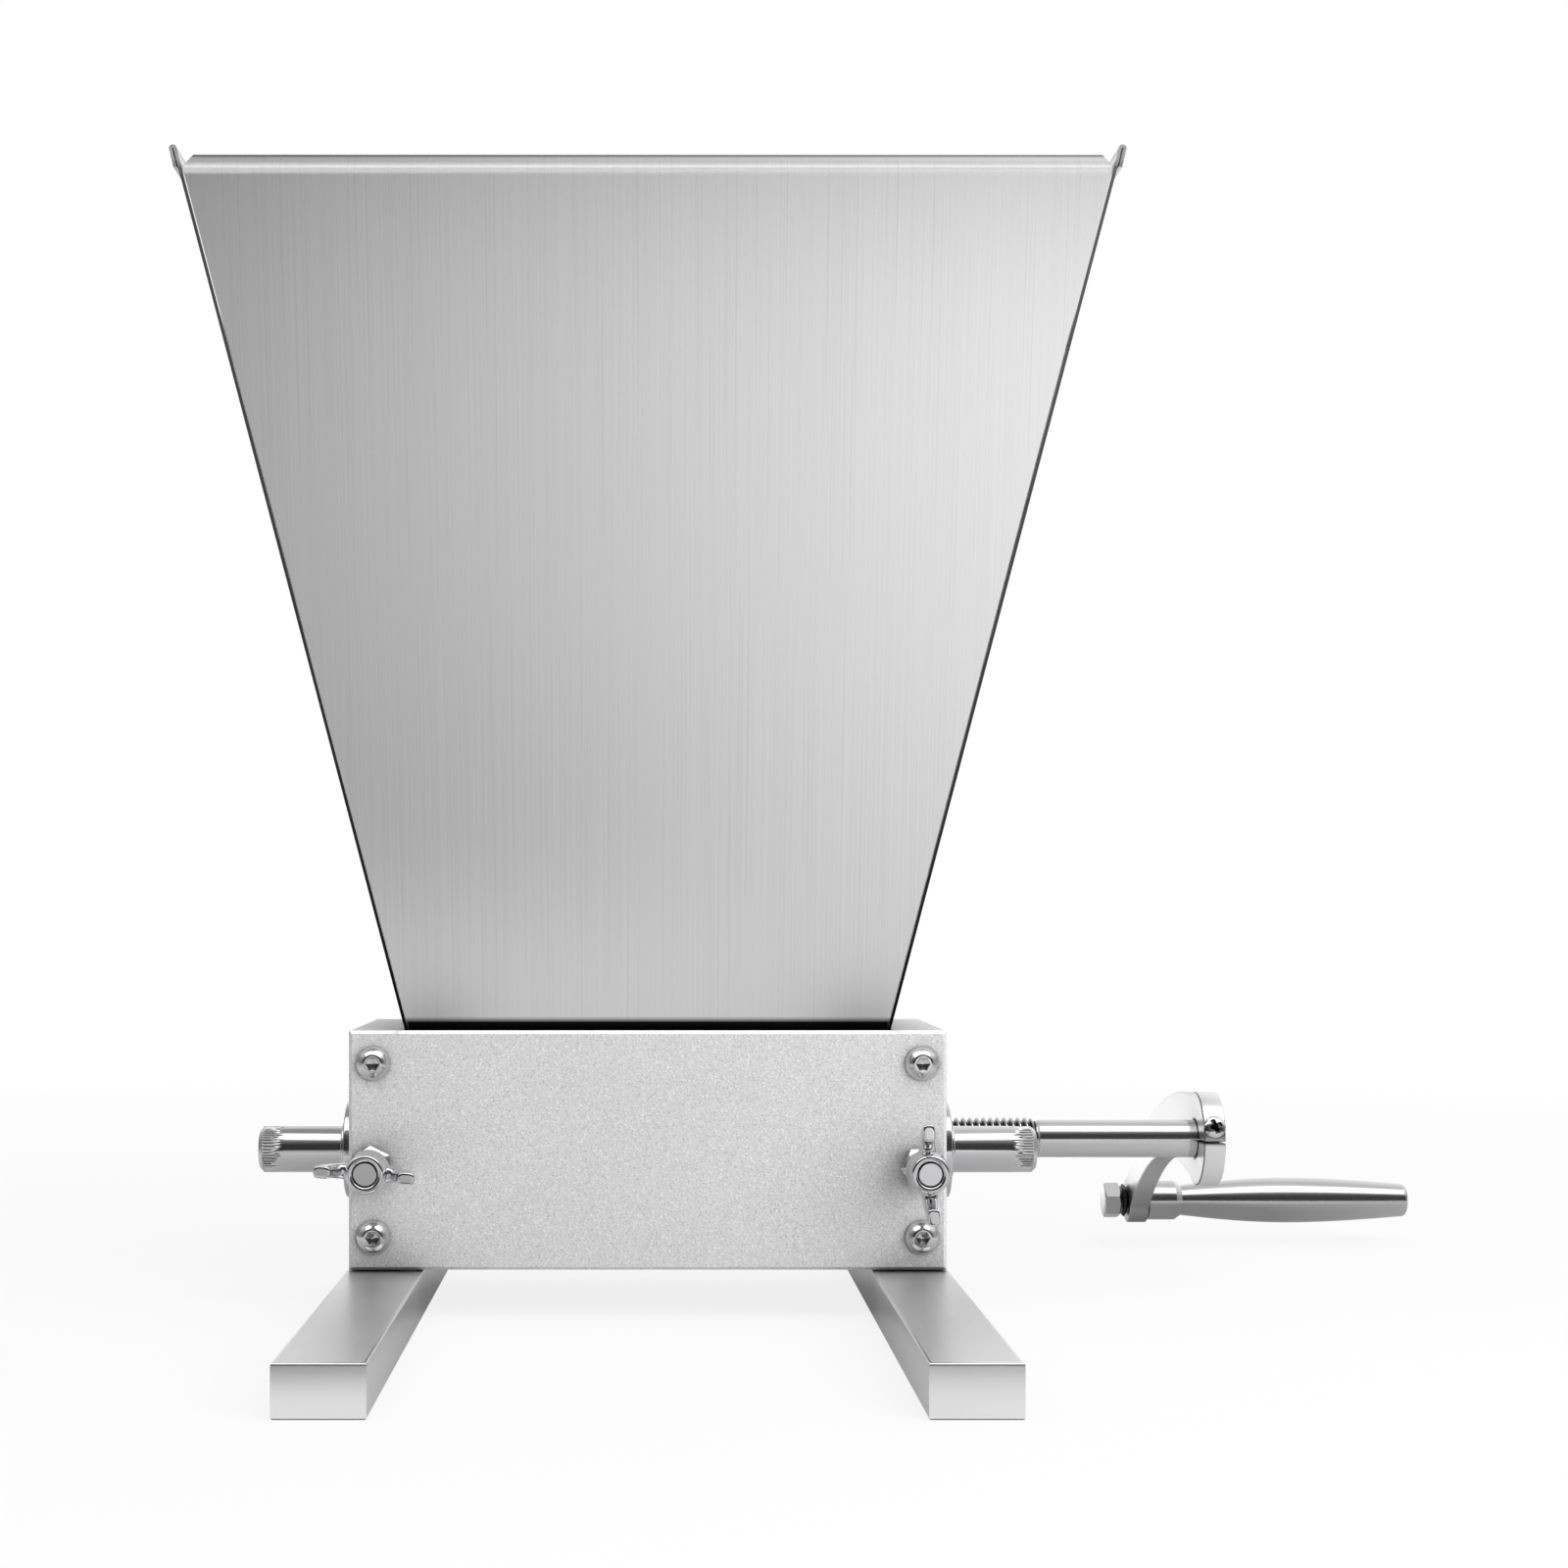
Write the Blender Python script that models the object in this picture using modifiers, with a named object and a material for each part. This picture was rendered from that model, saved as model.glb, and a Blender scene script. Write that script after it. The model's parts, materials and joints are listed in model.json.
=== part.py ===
"""Hand cranked grain mill: two fluted rollers in an aluminium body, under a folded steel hopper.

Metres, +Z up. The mill stands on the ground at Z = 0 with its front towards -Y, and the crank is at
its right end. Places below are worked out in the mill's own frame, whose X = 0 and Y = 0 lie at the
middle of the body. The empty "mill" moves that frame so that the world's origin is under the middle
of everything that the mill reaches.
"""

import math

import bmesh
import bpy
from mathutils import Matrix, Vector

# Clearances
GAP = 0.0003
BORE_PLAY = 0.0001
OVERRUN = 0.002

# Body of the mill
BODY_WIDTH = 0.155
BODY_DEPTH = 0.073
BODY_HEIGHT = 0.062
COVER_THICKNESS = 0.003
END_PLATE_THICKNESS = 0.014
PLATE_EDGE = 0.0004

# Feet
FOOT_LENGTH = 0.350
FOOT_WIDTH = 0.020
FOOT_HEIGHT = 0.012
FOOT_OVERHANG = 0.00075
FOOT_EDGE = 0.0006

# Foot screws, countersunk from below
FOOT_SCREW_SPREAD = 0.030
FOOT_SCREW_RADIUS = 0.003
FOOT_SCREW_HEAD_RADIUS = 0.0055
FOOT_SCREW_HEAD_HEIGHT = 0.0028
FOOT_SCREW_RECESS = 0.0007
FOOT_SCREW_GRIP = 0.010
FOOT_SCREW_SOCKET = 0.004

# Rollers and their axes
AXIS_ABOVE_BASE = 0.0295
ROLLER_GAP = 0.0015
ROLLER_WALL_GAP = 0.00175
ECCENTRICITY = 0.001
ROLLER_FLUTES = 48
FLUTE_DEPTH = 0.0007
FLUTE_TWIST = math.radians(24)
FLUTE_STEPS = 5
ROLLER_CORE_RADIUS = 0.0070

# Drive shaft
DRIVE_JOURNAL_RADIUS = 0.0060
DRIVE_THREAD_RADIUS = 0.0059
DRIVE_THREAD_LENGTH = 0.0302
DRIVE_STEM_RADIUS = 0.0052
DRIVE_STEM_LENGTH = 0.0448
SHAFT_CHAMFER = 0.0008

# Idler shaft, turning in the adjusters
IDLER_JOURNAL_RADIUS = 0.0050
IDLER_JOURNAL_LENGTH = 0.0115

# Bushes and thrust washers
BUSH_RADIUS = 0.0090
WASHER_RADIUS = 0.0088
WASHER_THICKNESS = 0.0009

# Adjusters
SLEEVE_RADIUS = 0.010
FLANGE_RADIUS = 0.0128
FLANGE_THICKNESS = 0.0025
BOSS_RADIUS = 0.0075
BOSS_LENGTH = 0.0010
ADJUSTER_STEM_RADIUS = 0.00615
ADJUSTER_REACH = 0.0257
KNURL_LENGTH = 0.006
KNURL_TEETH = 24
KNURL_DEPTH = 0.0005
KNOB_CHAMFER = 0.0014

# Cover screws, button heads
COVER_SCREW_INSET = 0.0064
COVER_SCREW_MARGIN = 0.0085
BUTTON_RADIUS = 0.0045
BUTTON_HEIGHT = 0.0027
BUTTON_CROWN_RADIUS = 0.0024
COVER_SCREW_RADIUS = 0.0025
COVER_SCREW_LENGTH = 0.012
COVER_SCREW_SOCKET = 0.003
SOCKET_DEPTH_SHARE = 0.6

# Wing screws that lock the adjusters
LOCK_DROP = 0.0027
LOCK_REACH = 0.021
LOCK_STUD_RADIUS = 0.0030
LOCK_NUT_ACROSS = 0.010
LOCK_NUT_THICKNESS = 0.005
LEFT_NUT_TURN = math.radians(90)
RIGHT_NUT_TURN = math.radians(0)
WING_HUB_LENGTH = 0.0100
WING_HUB_FRONT_RADIUS = 0.0049
WING_HUB_BACK_RADIUS = 0.0056
WING_HUB_EDGE = 0.0006
WING_SPAN = 0.0248
WING_THICKNESS = 0.0037
WING_TIP_LENGTH = 0.0042
WING_TIP_RISE = 0.0016
WING_ROOT_LOW = 0.0015
WING_ROOT_HIGH = 0.0068
WING_ELBOW_REACH = 0.0103
WING_ELBOW_HEIGHT = 0.0050
WING_EDGE = 0.0007
LEFT_WING_TILT = math.radians(-4.4)
RIGHT_WING_TILT = math.radians(93.2)

# Hopper
SHEET = 0.0008
SPIGOT_ROLLER_GAP = 0.002
HOPPER_BEND_HEIGHT = 0.2105
HOPPER_TOP_HALF_WIDTH = 0.1136
HOPPER_TOP_HALF_DEPTH = 0.0812
LIP_RISE = 0.0060
LIP_INSET = 0.0078
LIP_CORNER = 0.0030
HEM_WIDTH = 0.0050

# Crank
CRANK_THROW = 0.110
CRANK_BOW = 0.0117
CRANK_DROOP = math.radians(15.2)
CRANK_THICKNESS = 0.006
CRANK_HUB_RADIUS = 0.013
CRANK_EYE_RADIUS = 0.0070
CRANK_ROOT_HALF_WIDTH = 0.0123
CRANK_WAIST_HALF_WIDTH = 0.0056
CRANK_EDGE = 0.0003
SLIT_WIDTH = 0.0005
CLAMP_HEAD_RADIUS = 0.0029
CLAMP_HEAD_HEIGHT = 0.0016
CLAMP_SEAT_DEPTH = 0.0009
CLAMP_SHANK_RADIUS = 0.0015
CLAMP_LIFT = math.radians(19)

# Grip and its bolt
GRIP_BOLT_RADIUS = 0.0030
BOLT_HEAD_ACROSS = 0.010
BOLT_HEAD_THICKNESS = 0.0051
BOLT_HEAD_STANDOFF = 0.0024
GRIP_NUT_THICKNESS = 0.0015
GRIP_NUT_ACROSS = 0.009
FERRULE_RADIUS = 0.0062
FERRULE_LENGTH = 0.0086
NECK_RADIUS = 0.00475
NECK_PLACE = 0.0107
GRIP_BELLY_RADIUS = 0.0071
GRIP_BELLY_PLACE = 0.044
GRIP_END_RADIUS = 0.0052
GRIP_LENGTH = 0.0824
GRIP_END_ROUND = 0.0015
GRIP_BORE_DEPTH = 0.050
RING_PLACE = 0.044
RING_WIDTH = 0.0010
RING_STEP = 0.0006

# Counts of facets, and the tolerances of the drawing
ROUND_STEPS = 28
SMALL_STEPS = 16
CURVE_STEPS = 10
BELLY_STEPS = 6
CROWN_STEPS = 2
MERGE_DISTANCE = 1e-6
SHARP_ANGLE = math.radians(35)
FLAT_ANGLE = math.radians(1)
HALF_CORNER = math.pi / 6

# Derived places
BASE = FOOT_HEIGHT + GAP
BODY_TOP = BASE + BODY_HEIGHT
HALF_WIDTH = BODY_WIDTH / 2
HALF_DEPTH = BODY_DEPTH / 2
HALF_OPENING = HALF_WIDTH - END_PLATE_THICKNESS
INNER_DEPTH = HALF_DEPTH - COVER_THICKNESS
AXIS_HEIGHT = BASE + AXIS_ABOVE_BASE
ROLLER_RADIUS = (INNER_DEPTH - ROLLER_WALL_GAP - ROLLER_GAP / 2) / 2
ROLLER_LENGTH = 2 * (HALF_OPENING - GAP - WASHER_THICKNESS - GAP)
DRIVE_Y = ROLLER_RADIUS + ROLLER_GAP / 2
ADJUSTER_Y = -DRIVE_Y
SCREW_X = HALF_WIDTH - COVER_SCREW_INSET
LOCK_HEIGHT = AXIS_HEIGHT - LOCK_DROP
LOCK_TIP_Y = ADJUSTER_Y - SLEEVE_RADIUS - GAP
FOOT_X = HALF_WIDTH + FOOT_OVERHANG - FOOT_WIDTH / 2
FOOT_SCREW_X = HALF_WIDTH - END_PLATE_THICKNESS / 2
CRANK_X = HALF_WIDTH + DRIVE_THREAD_LENGTH + DRIVE_STEM_LENGTH
CRANK_OUTER_X = CRANK_X + CRANK_THICKNESS
GRIP_X = CRANK_OUTER_X + GAP
SPIGOT_X = HALF_OPENING - GAP
SPIGOT_Y = INNER_DEPTH - GAP
SPIGOT_LOW = AXIS_HEIGHT + ECCENTRICITY + ROLLER_RADIUS + SPIGOT_ROLLER_GAP
RIM_HEIGHT = HOPPER_BEND_HEIGHT + LIP_RISE
WALL_LEAN = (HOPPER_TOP_HALF_WIDTH - SPIGOT_X) / HOPPER_BEND_HEIGHT
RIM_X = SPIGOT_X + WALL_LEAN * RIM_HEIGHT
MILL_X = -(GRIP_X + GRIP_LENGTH - RIM_X - SHEET - GAP) / 2

# Directions: the turned pieces are drawn round Z and laid over
ALONG_X = (0, math.pi / 2, 0)
AGAINST_X = (0, -math.pi / 2, 0)
TO_FRONT = (math.pi / 2, 0, 0)
TO_BACK = (-math.pi / 2, 0, 0)
UPRIGHT = (0, 0, 0)


# Scene and materials


def clear_scene():
    for item in list(bpy.data.objects):
        bpy.data.objects.remove(item, do_unlink=True)


def new_collection(name):
    collection = bpy.data.collections.new(name)
    bpy.context.scene.collection.children.link(collection)
    return collection


def finish(name, colour, roughness, metallic):
    material = bpy.data.materials.new(name)
    material.use_nodes = True
    shader = material.node_tree.nodes["Principled BSDF"]
    shader.inputs["Base Color"].default_value = (*colour, 1)
    shader.inputs["Roughness"].default_value = roughness
    shader.inputs["Metallic"].default_value = metallic
    material.diffuse_color = (*colour, 1)
    return material


clear_scene()
PARTS = new_collection("grain_mill")
CUTTERS = new_collection("cutters")
BLASTED = finish("blasted_aluminium", (0.72, 0.72, 0.72), 0.55, 1)
BAR = finish("satin_bar", (0.78, 0.78, 0.78), 0.35, 1)
BRUSHED = finish("brushed_sheet", (0.66, 0.66, 0.66), 0.32, 1)
POLISHED = finish("polished_steel", (0.70, 0.70, 0.71), 0.15, 1)
HARDENED = finish("hardened_steel", (0.42, 0.42, 0.44), 0.35, 1)
BRONZE = finish("bearing_bronze", (0.60, 0.42, 0.22), 0.40, 1)
DARK = finish("blackened_steel", (0.06, 0.06, 0.06), 0.40, 1)


def new_object(name, mesh, parent, collection):
    item = bpy.data.objects.new(name, mesh)
    collection.objects.link(item)
    item.parent = parent
    return item


def empty(name, place, turn=UPRIGHT, parent=None):
    item = new_object(name, None, parent, PARTS)
    item.location = place
    item.rotation_euler = turn
    return item


MILL = empty("mill", (MILL_X, 0, 0))


def part(name, mesh, material, place, turn=UPRIGHT, parent=MILL):
    item = new_object(name, mesh, parent, PARTS)
    if not mesh.materials:
        mesh.materials.append(material)
    item.location = place
    item.rotation_euler = turn
    return item


# Shapes


def mesh_of(bm, name):
    mesh = bpy.data.meshes.new(name)
    bm.to_mesh(mesh)
    bm.free()
    return mesh


def baked(item, name):
    """The mesh that the object's modifiers give it, with the object itself removed."""
    graph = bpy.context.evaluated_depsgraph_get()
    mesh = bpy.data.meshes.new_from_object(item.evaluated_get(graph))
    mesh.name = name
    bpy.data.objects.remove(item)
    return mesh


def smooth(mesh):
    mesh.shade_smooth()
    mesh.set_sharp_from_angle(angle=SHARP_ANGLE)
    return mesh


def box(name, size):
    """A box whose middle is at its origin."""
    bm = bmesh.new()
    bmesh.ops.create_cube(bm, size=1, matrix=Matrix.Diagonal((*size, 1)))
    return mesh_of(bm, name)


def chamfered_box(name, size, edge):
    """A box with all its edges broken."""
    item = new_object(name, box(name, size), None, CUTTERS)
    bevel = item.modifiers.new("edges", "BEVEL")
    bevel.width = edge
    bevel.segments = 1
    return baked(item, name)


def turned(name, profile, steps, ring=False):
    """A profile of (radius, height) points, outer side first and downwards, spun round Z."""
    mesh = bpy.data.meshes.new(name)
    points = [(radius, 0, height) for radius, height in profile]
    edges = [(i, i + 1) for i in range(len(points) - 1)]
    if ring:
        edges.append((len(points) - 1, 0))
    mesh.from_pydata(points, edges, [])
    item = new_object(name, mesh, None, CUTTERS)
    screw = item.modifiers.new("turn", "SCREW")
    screw.steps = steps
    screw.render_steps = steps
    screw.use_merge_vertices = True
    screw.merge_threshold = MERGE_DISTANCE
    return smooth(baked(item, name))


def rod(name, radius, low, high, chamfer, steps=ROUND_STEPS):
    """A round bar from one height to another, with both ends chamfered."""
    profile = [
        (0, high),
        (radius - chamfer, high),
        (radius, high - chamfer),
        (radius, low + chamfer),
        (radius - chamfer, low),
        (0, low),
    ]
    return turned(name, profile, steps)


def tube(name, outer, inner, low, high, steps=ROUND_STEPS):
    """A plain ring or bush."""
    return turned(
        name, [(outer, high), (outer, low), (inner, low), (inner, high)], steps, ring=True
    )


def hex_prism(name, across, low, high):
    """A six sided bar with two of its corners on the X axis."""
    bm = bmesh.new()
    corner = across / 2 / math.cos(HALF_CORNER)
    middle = Matrix.Translation((0, 0, (low + high) / 2))
    spin = Matrix.Rotation(HALF_CORNER, 4, "Z")
    bmesh.ops.create_cone(
        bm,
        cap_ends=True,
        segments=6,
        radius1=corner,
        radius2=corner,
        depth=high - low,
        matrix=middle @ spin,
    )
    return mesh_of(bm, name)


def cutter(name, mesh, parent=MILL, place=(0, 0, 0), turn=UPRIGHT):
    item = new_object(name, mesh, parent, CUTTERS)
    item.location = place
    item.rotation_euler = turn
    item.hide_render = True
    item.display_type = "WIRE"
    return item


def boolean(item, other, operation="DIFFERENCE"):
    modifier = item.modifiers.new(other.name, "BOOLEAN")
    modifier.object = other
    modifier.operation = operation
    modifier.solver = "EXACT"


def combined(name, mesh, steps):
    """A mesh with other meshes cut from it, joined to it or kept in common with it, in order."""
    item = new_object(name, mesh, None, CUTTERS)
    others = []
    for operation, other in steps:
        tool = new_object(name + "_tool", other, None, CUTTERS)
        boolean(item, tool, operation)
        others.append(tool)
    result = baked(item, name)
    for tool in others:
        bpy.data.objects.remove(tool)
    return result


def drills(name, holes):
    """One mesh of round cutters, each given as its two end points, radius and number of sides."""
    bm = bmesh.new()
    for start, end, radius, sides in holes:
        run = Vector(end) - Vector(start)
        turn = run.to_track_quat("Z", "Y").to_matrix().to_4x4()
        middle = Matrix.Translation((Vector(start) + Vector(end)) / 2)
        bmesh.ops.create_cone(
            bm,
            cap_ends=True,
            segments=sides,
            radius1=radius,
            radius2=radius,
            depth=run.length,
            matrix=middle @ turn,
        )
    return mesh_of(bm, name)


def hex_head(name, across, low, high):
    """A hexagon whose corners are turned off at both ends."""
    flat = across / 2
    rim = flat / math.cos(HALF_CORNER) + GAP
    drop = (rim - flat) * math.tan(HALF_CORNER)
    upper = [(0, high), (flat, high), (rim, high - drop)]
    lower = [(rim, low + drop), (flat, low), (0, low)]
    envelope = turned(name + "_envelope", upper + lower, SMALL_STEPS)
    return combined(name, hex_prism(name, across, low, high), [("INTERSECT", envelope)])


def toothed_bar(name, crest, root, teeth, low, high, twist, steps):
    """A bar with V-shaped teeth, turning by the twist from its low end to its high end."""
    bm = bmesh.new()
    outline = []
    for i in range(2 * teeth):
        reach = root if i % 2 else crest
        angle = math.pi * i / teeth
        point = (reach * math.cos(angle), reach * math.sin(angle), low)
        outline.append(bm.verts.new(point))
    face = bm.faces.new(outline)
    region = [face, *face.edges]
    rise = Vector((0, 0, (high - low) / steps))
    turn = Matrix.Rotation(twist / steps, 3, "Z")
    for _ in range(steps):
        grown = bmesh.ops.extrude_face_region(bm, geom=region)["geom"]
        points = [item for item in grown if isinstance(item, bmesh.types.BMVert)]
        bmesh.ops.translate(bm, verts=points, vec=rise)
        bmesh.ops.rotate(bm, verts=points, cent=(0, 0, 0), matrix=turn)
        region = [item for item in grown if not isinstance(item, bmesh.types.BMVert)]
    bmesh.ops.recalc_face_normals(bm, faces=bm.faces[:])
    return mesh_of(bm, name)


def flat_plate(name, outline, thickness):
    """A closed outline in the XY plane, filled and given its thickness on both sides of it."""
    curve = bpy.data.curves.new(name, "CURVE")
    curve.dimensions = "2D"
    curve.fill_mode = "BOTH"
    curve.extrude = thickness / 2
    spline = curve.splines.new("POLY")
    spline.points.add(len(outline) - 1)
    for point, (x, y) in zip(spline.points, outline):
        point.co = (x, y, 0, 1)
    spline.use_cyclic_u = True
    mesh = baked(new_object(name, curve, None, CUTTERS), name)
    bm = bmesh.new()
    bm.from_mesh(mesh)
    bmesh.ops.remove_doubles(bm, verts=bm.verts, dist=MERGE_DISTANCE)
    bmesh.ops.dissolve_limit(bm, angle_limit=FLAT_ANGLE, verts=bm.verts, edges=bm.edges)
    bmesh.ops.recalc_face_normals(bm, faces=bm.faces[:])
    bm.to_mesh(mesh)
    bm.free()
    return mesh


def edges_broken(name, mesh, width, segments=1):
    """The mesh with its sharp edges bevelled."""
    item = new_object(name, mesh, None, CUTTERS)
    bevel = item.modifiers.new("edges", "BEVEL")
    bevel.width = width
    bevel.segments = segments
    bevel.angle_limit = SHARP_ANGLE
    return baked(item, name)


def polar(radius, angle, centre=(0, 0)):
    return (
        centre[0] + radius * math.cos(angle),
        centre[1] + radius * math.sin(angle),
    )


def blend(start, end, share):
    return start + (end - start) * share


SIDES = (("left", -1), ("right", 1))
FACES = (("front", -1), ("back", 1))


# Feet


def foot_screw_places(side):
    return [
        (face, side * FOOT_SCREW_X, way * FOOT_SCREW_SPREAD / 2) for face, way in FACES
    ]


def countersink():
    """The hole that a foot screw needs: a wide mouth, a cone and a through hole."""
    mouth = FOOT_SCREW_HEAD_RADIUS + GAP
    shank = FOOT_SCREW_RADIUS + GAP
    profile = [
        (0, FOOT_HEIGHT + OVERRUN),
        (shank, FOOT_HEIGHT + OVERRUN),
        (shank, FOOT_SCREW_RECESS + FOOT_SCREW_HEAD_HEIGHT),
        (mouth, FOOT_SCREW_RECESS),
        (mouth, -OVERRUN),
        (0, -OVERRUN),
    ]
    return turned("countersink", profile, SMALL_STEPS)


def foot_screw_mesh():
    top = BASE + FOOT_SCREW_GRIP
    neck = FOOT_SCREW_RECESS + FOOT_SCREW_HEAD_HEIGHT
    profile = [
        (0, top),
        (FOOT_SCREW_RADIUS - SHAFT_CHAMFER, top),
        (FOOT_SCREW_RADIUS, top - SHAFT_CHAMFER),
        (FOOT_SCREW_RADIUS, neck),
        (FOOT_SCREW_HEAD_RADIUS, FOOT_SCREW_RECESS),
        (0, FOOT_SCREW_RECESS),
    ]
    body = turned("foot_screw", profile, SMALL_STEPS)
    depth = FOOT_SCREW_HEAD_HEIGHT * SOCKET_DEPTH_SHARE
    socket = hex_prism("socket", FOOT_SCREW_SOCKET, -OVERRUN, FOOT_SCREW_RECESS + depth)
    return combined("foot_screw", body, [("DIFFERENCE", socket)])


def make_feet():
    bar = chamfered_box("foot", (FOOT_WIDTH, FOOT_LENGTH, FOOT_HEIGHT), FOOT_EDGE)
    hole = countersink()
    screw = foot_screw_mesh()
    for side, way in SIDES:
        foot = part(f"{side}_foot", bar.copy(), BAR, (way * FOOT_X, 0, FOOT_HEIGHT / 2))
        for face, x, y in foot_screw_places(way):
            tool = cutter(f"{side}_{face}_countersink", hole, place=(x, y, 0))
            boolean(foot, tool)
            part(f"foot_screw_{side}_{face}", screw, POLISHED, (x, y, 0))


# End plates and covers


def cover_screw_heights():
    return (
        ("top", BODY_TOP - COVER_SCREW_MARGIN),
        ("bottom", BASE + COVER_SCREW_MARGIN),
    )


def lock_hole(x, end_y):
    radius = LOCK_STUD_RADIUS + GAP
    start = (x, -HALF_DEPTH - OVERRUN, LOCK_HEIGHT)
    return (start, (x, end_y, LOCK_HEIGHT), radius, SMALL_STEPS)


def cover_screw_hole(x, way, height, end_y):
    radius = COVER_SCREW_RADIUS + GAP
    start = (x, way * (HALF_DEPTH + OVERRUN), height)
    return (start, (x, end_y, height), radius, SMALL_STEPS)


def axle_hole(way, y, radius):
    inner = way * (HALF_OPENING - OVERRUN)
    outer = way * (HALF_WIDTH + OVERRUN)
    return ((inner, y, AXIS_HEIGHT), (outer, y, AXIS_HEIGHT), radius, ROUND_STEPS)


def end_plate_holes(way):
    """Holes for the screws: cover screws from both faces, the lock screw and the foot screws."""
    x = way * SCREW_X
    holes = [lock_hole(x, ADJUSTER_Y)]
    tip = HALF_DEPTH - COVER_SCREW_LENGTH
    for _, face in FACES:
        for _, height in cover_screw_heights():
            holes.append(cover_screw_hole(x, face, height, face * tip))
    for _, foot_x, foot_y in foot_screw_places(way):
        low = (foot_x, foot_y, BASE - OVERRUN)
        high = (foot_x, foot_y, BASE + FOOT_SCREW_GRIP + GAP)
        holes.append((low, high, FOOT_SCREW_RADIUS + GAP, SMALL_STEPS))
    return holes


def make_end_plates():
    size = (END_PLATE_THICKNESS, 2 * (INNER_DEPTH - GAP), BODY_HEIGHT)
    block = chamfered_box("end_plate", size, PLATE_EDGE)
    for side, way in SIDES:
        centre = (way * (HALF_WIDTH - END_PLATE_THICKNESS / 2), 0, BASE + BODY_HEIGHT / 2)
        plate = part(f"{side}_end_plate", block.copy(), BLASTED, centre)
        bores = [
            axle_hole(way, DRIVE_Y, BUSH_RADIUS + GAP),
            axle_hole(way, ADJUSTER_Y, SLEEVE_RADIUS + GAP),
        ]
        boolean(plate, cutter(f"{side}_bores", drills(f"{side}_bores", bores)))
        holes = drills(f"{side}_screw_holes", end_plate_holes(way))
        boolean(plate, cutter(f"{side}_screw_holes", holes))


def make_covers():
    block = chamfered_box("cover", (BODY_WIDTH, COVER_THICKNESS, BODY_HEIGHT), PLATE_EDGE)
    for face, way in FACES:
        centre = (0, way * (HALF_DEPTH - COVER_THICKNESS / 2), BASE + BODY_HEIGHT / 2)
        cover = part(f"{face}_cover", block.copy(), BLASTED, centre)
        inner = way * (INNER_DEPTH - OVERRUN)
        holes = []
        for _, side in SIDES:
            for _, height in cover_screw_heights():
                holes.append(cover_screw_hole(side * SCREW_X, way, height, inner))
            if face == "front":
                holes.append(lock_hole(side * SCREW_X, inner))
        name = f"{face}_cover_holes"
        boolean(cover, cutter(name, drills(name, holes)))


def dome(rim, height, crown):
    """Profile points of a ball-shaped head, from its flat crown down to its rim at height 0."""
    centre = (crown**2 + height**2 - rim**2) / (2 * height)
    radius = math.hypot(rim, centre)
    start = math.atan2(height - centre, crown)
    end = math.atan2(-centre, rim)
    angles = [blend(start, end, i / CROWN_STEPS) for i in range(CROWN_STEPS + 1)]
    return [(radius * math.cos(a), centre + radius * math.sin(a)) for a in angles]


def cover_screw_mesh():
    """A button head whose underside lies at height 0, with its shank below."""
    shank = COVER_SCREW_LENGTH - GAP
    profile = [
        (0, BUTTON_HEIGHT),
        *dome(BUTTON_RADIUS, BUTTON_HEIGHT, BUTTON_CROWN_RADIUS),
        (COVER_SCREW_RADIUS, 0),
        (COVER_SCREW_RADIUS, -shank + PLATE_EDGE),
        (COVER_SCREW_RADIUS - PLATE_EDGE, -shank),
        (0, -shank),
    ]
    body = turned("cover_screw", profile, SMALL_STEPS)
    bottom = BUTTON_HEIGHT * (1 - SOCKET_DEPTH_SHARE)
    socket = hex_prism("socket", COVER_SCREW_SOCKET, bottom, BUTTON_HEIGHT + OVERRUN)
    return combined("cover_screw", body, [("DIFFERENCE", socket)])


def make_cover_screws():
    mesh = cover_screw_mesh()
    for face, way in FACES:
        turn = TO_FRONT if way < 0 else TO_BACK
        for side, hand in SIDES:
            for level, height in cover_screw_heights():
                place = (hand * SCREW_X, way * (HALF_DEPTH + GAP), height)
                part(f"cover_screw_{face}_{side}_{level}", mesh, POLISHED, place, turn)


# Rollers and their shafts


def make_roller(name, place, parent, turn, hand):
    """A fluted roller whose flutes lead slightly, bored for its shaft."""
    half = ROLLER_LENGTH / 2
    bar = toothed_bar(
        name,
        ROLLER_RADIUS,
        ROLLER_RADIUS - FLUTE_DEPTH,
        ROLLER_FLUTES,
        -half,
        half,
        hand * FLUTE_TWIST,
        FLUTE_STEPS,
    )
    radius = ROLLER_CORE_RADIUS + BORE_PLAY
    bore = rod("bore", radius, -half - OVERRUN, half + OVERRUN, SHAFT_CHAMFER)
    mesh = combined(name, bar, [("DIFFERENCE", bore)])
    return part(name, mesh, HARDENED, place, turn, parent)


def drive_shaft_profile():
    """Stem end first: plain stem, threaded length, journal, core in the roller, journal."""
    half = ROLLER_LENGTH / 2
    thread_end = HALF_WIDTH + DRIVE_THREAD_LENGTH
    left_end = -HALF_WIDTH + GAP
    return [
        (0, CRANK_OUTER_X),
        (DRIVE_STEM_RADIUS - SHAFT_CHAMFER, CRANK_OUTER_X),
        (DRIVE_STEM_RADIUS, CRANK_OUTER_X - SHAFT_CHAMFER),
        (DRIVE_STEM_RADIUS, thread_end),
        (DRIVE_THREAD_RADIUS, thread_end - SHAFT_CHAMFER),
        (DRIVE_THREAD_RADIUS, HALF_WIDTH),
        (DRIVE_JOURNAL_RADIUS, HALF_WIDTH),
        (DRIVE_JOURNAL_RADIUS, half),
        (ROLLER_CORE_RADIUS, half),
        (ROLLER_CORE_RADIUS, -half),
        (DRIVE_JOURNAL_RADIUS, -half),
        (DRIVE_JOURNAL_RADIUS, left_end + SHAFT_CHAMFER),
        (DRIVE_JOURNAL_RADIUS - SHAFT_CHAMFER, left_end),
        (0, left_end),
    ]


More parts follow.
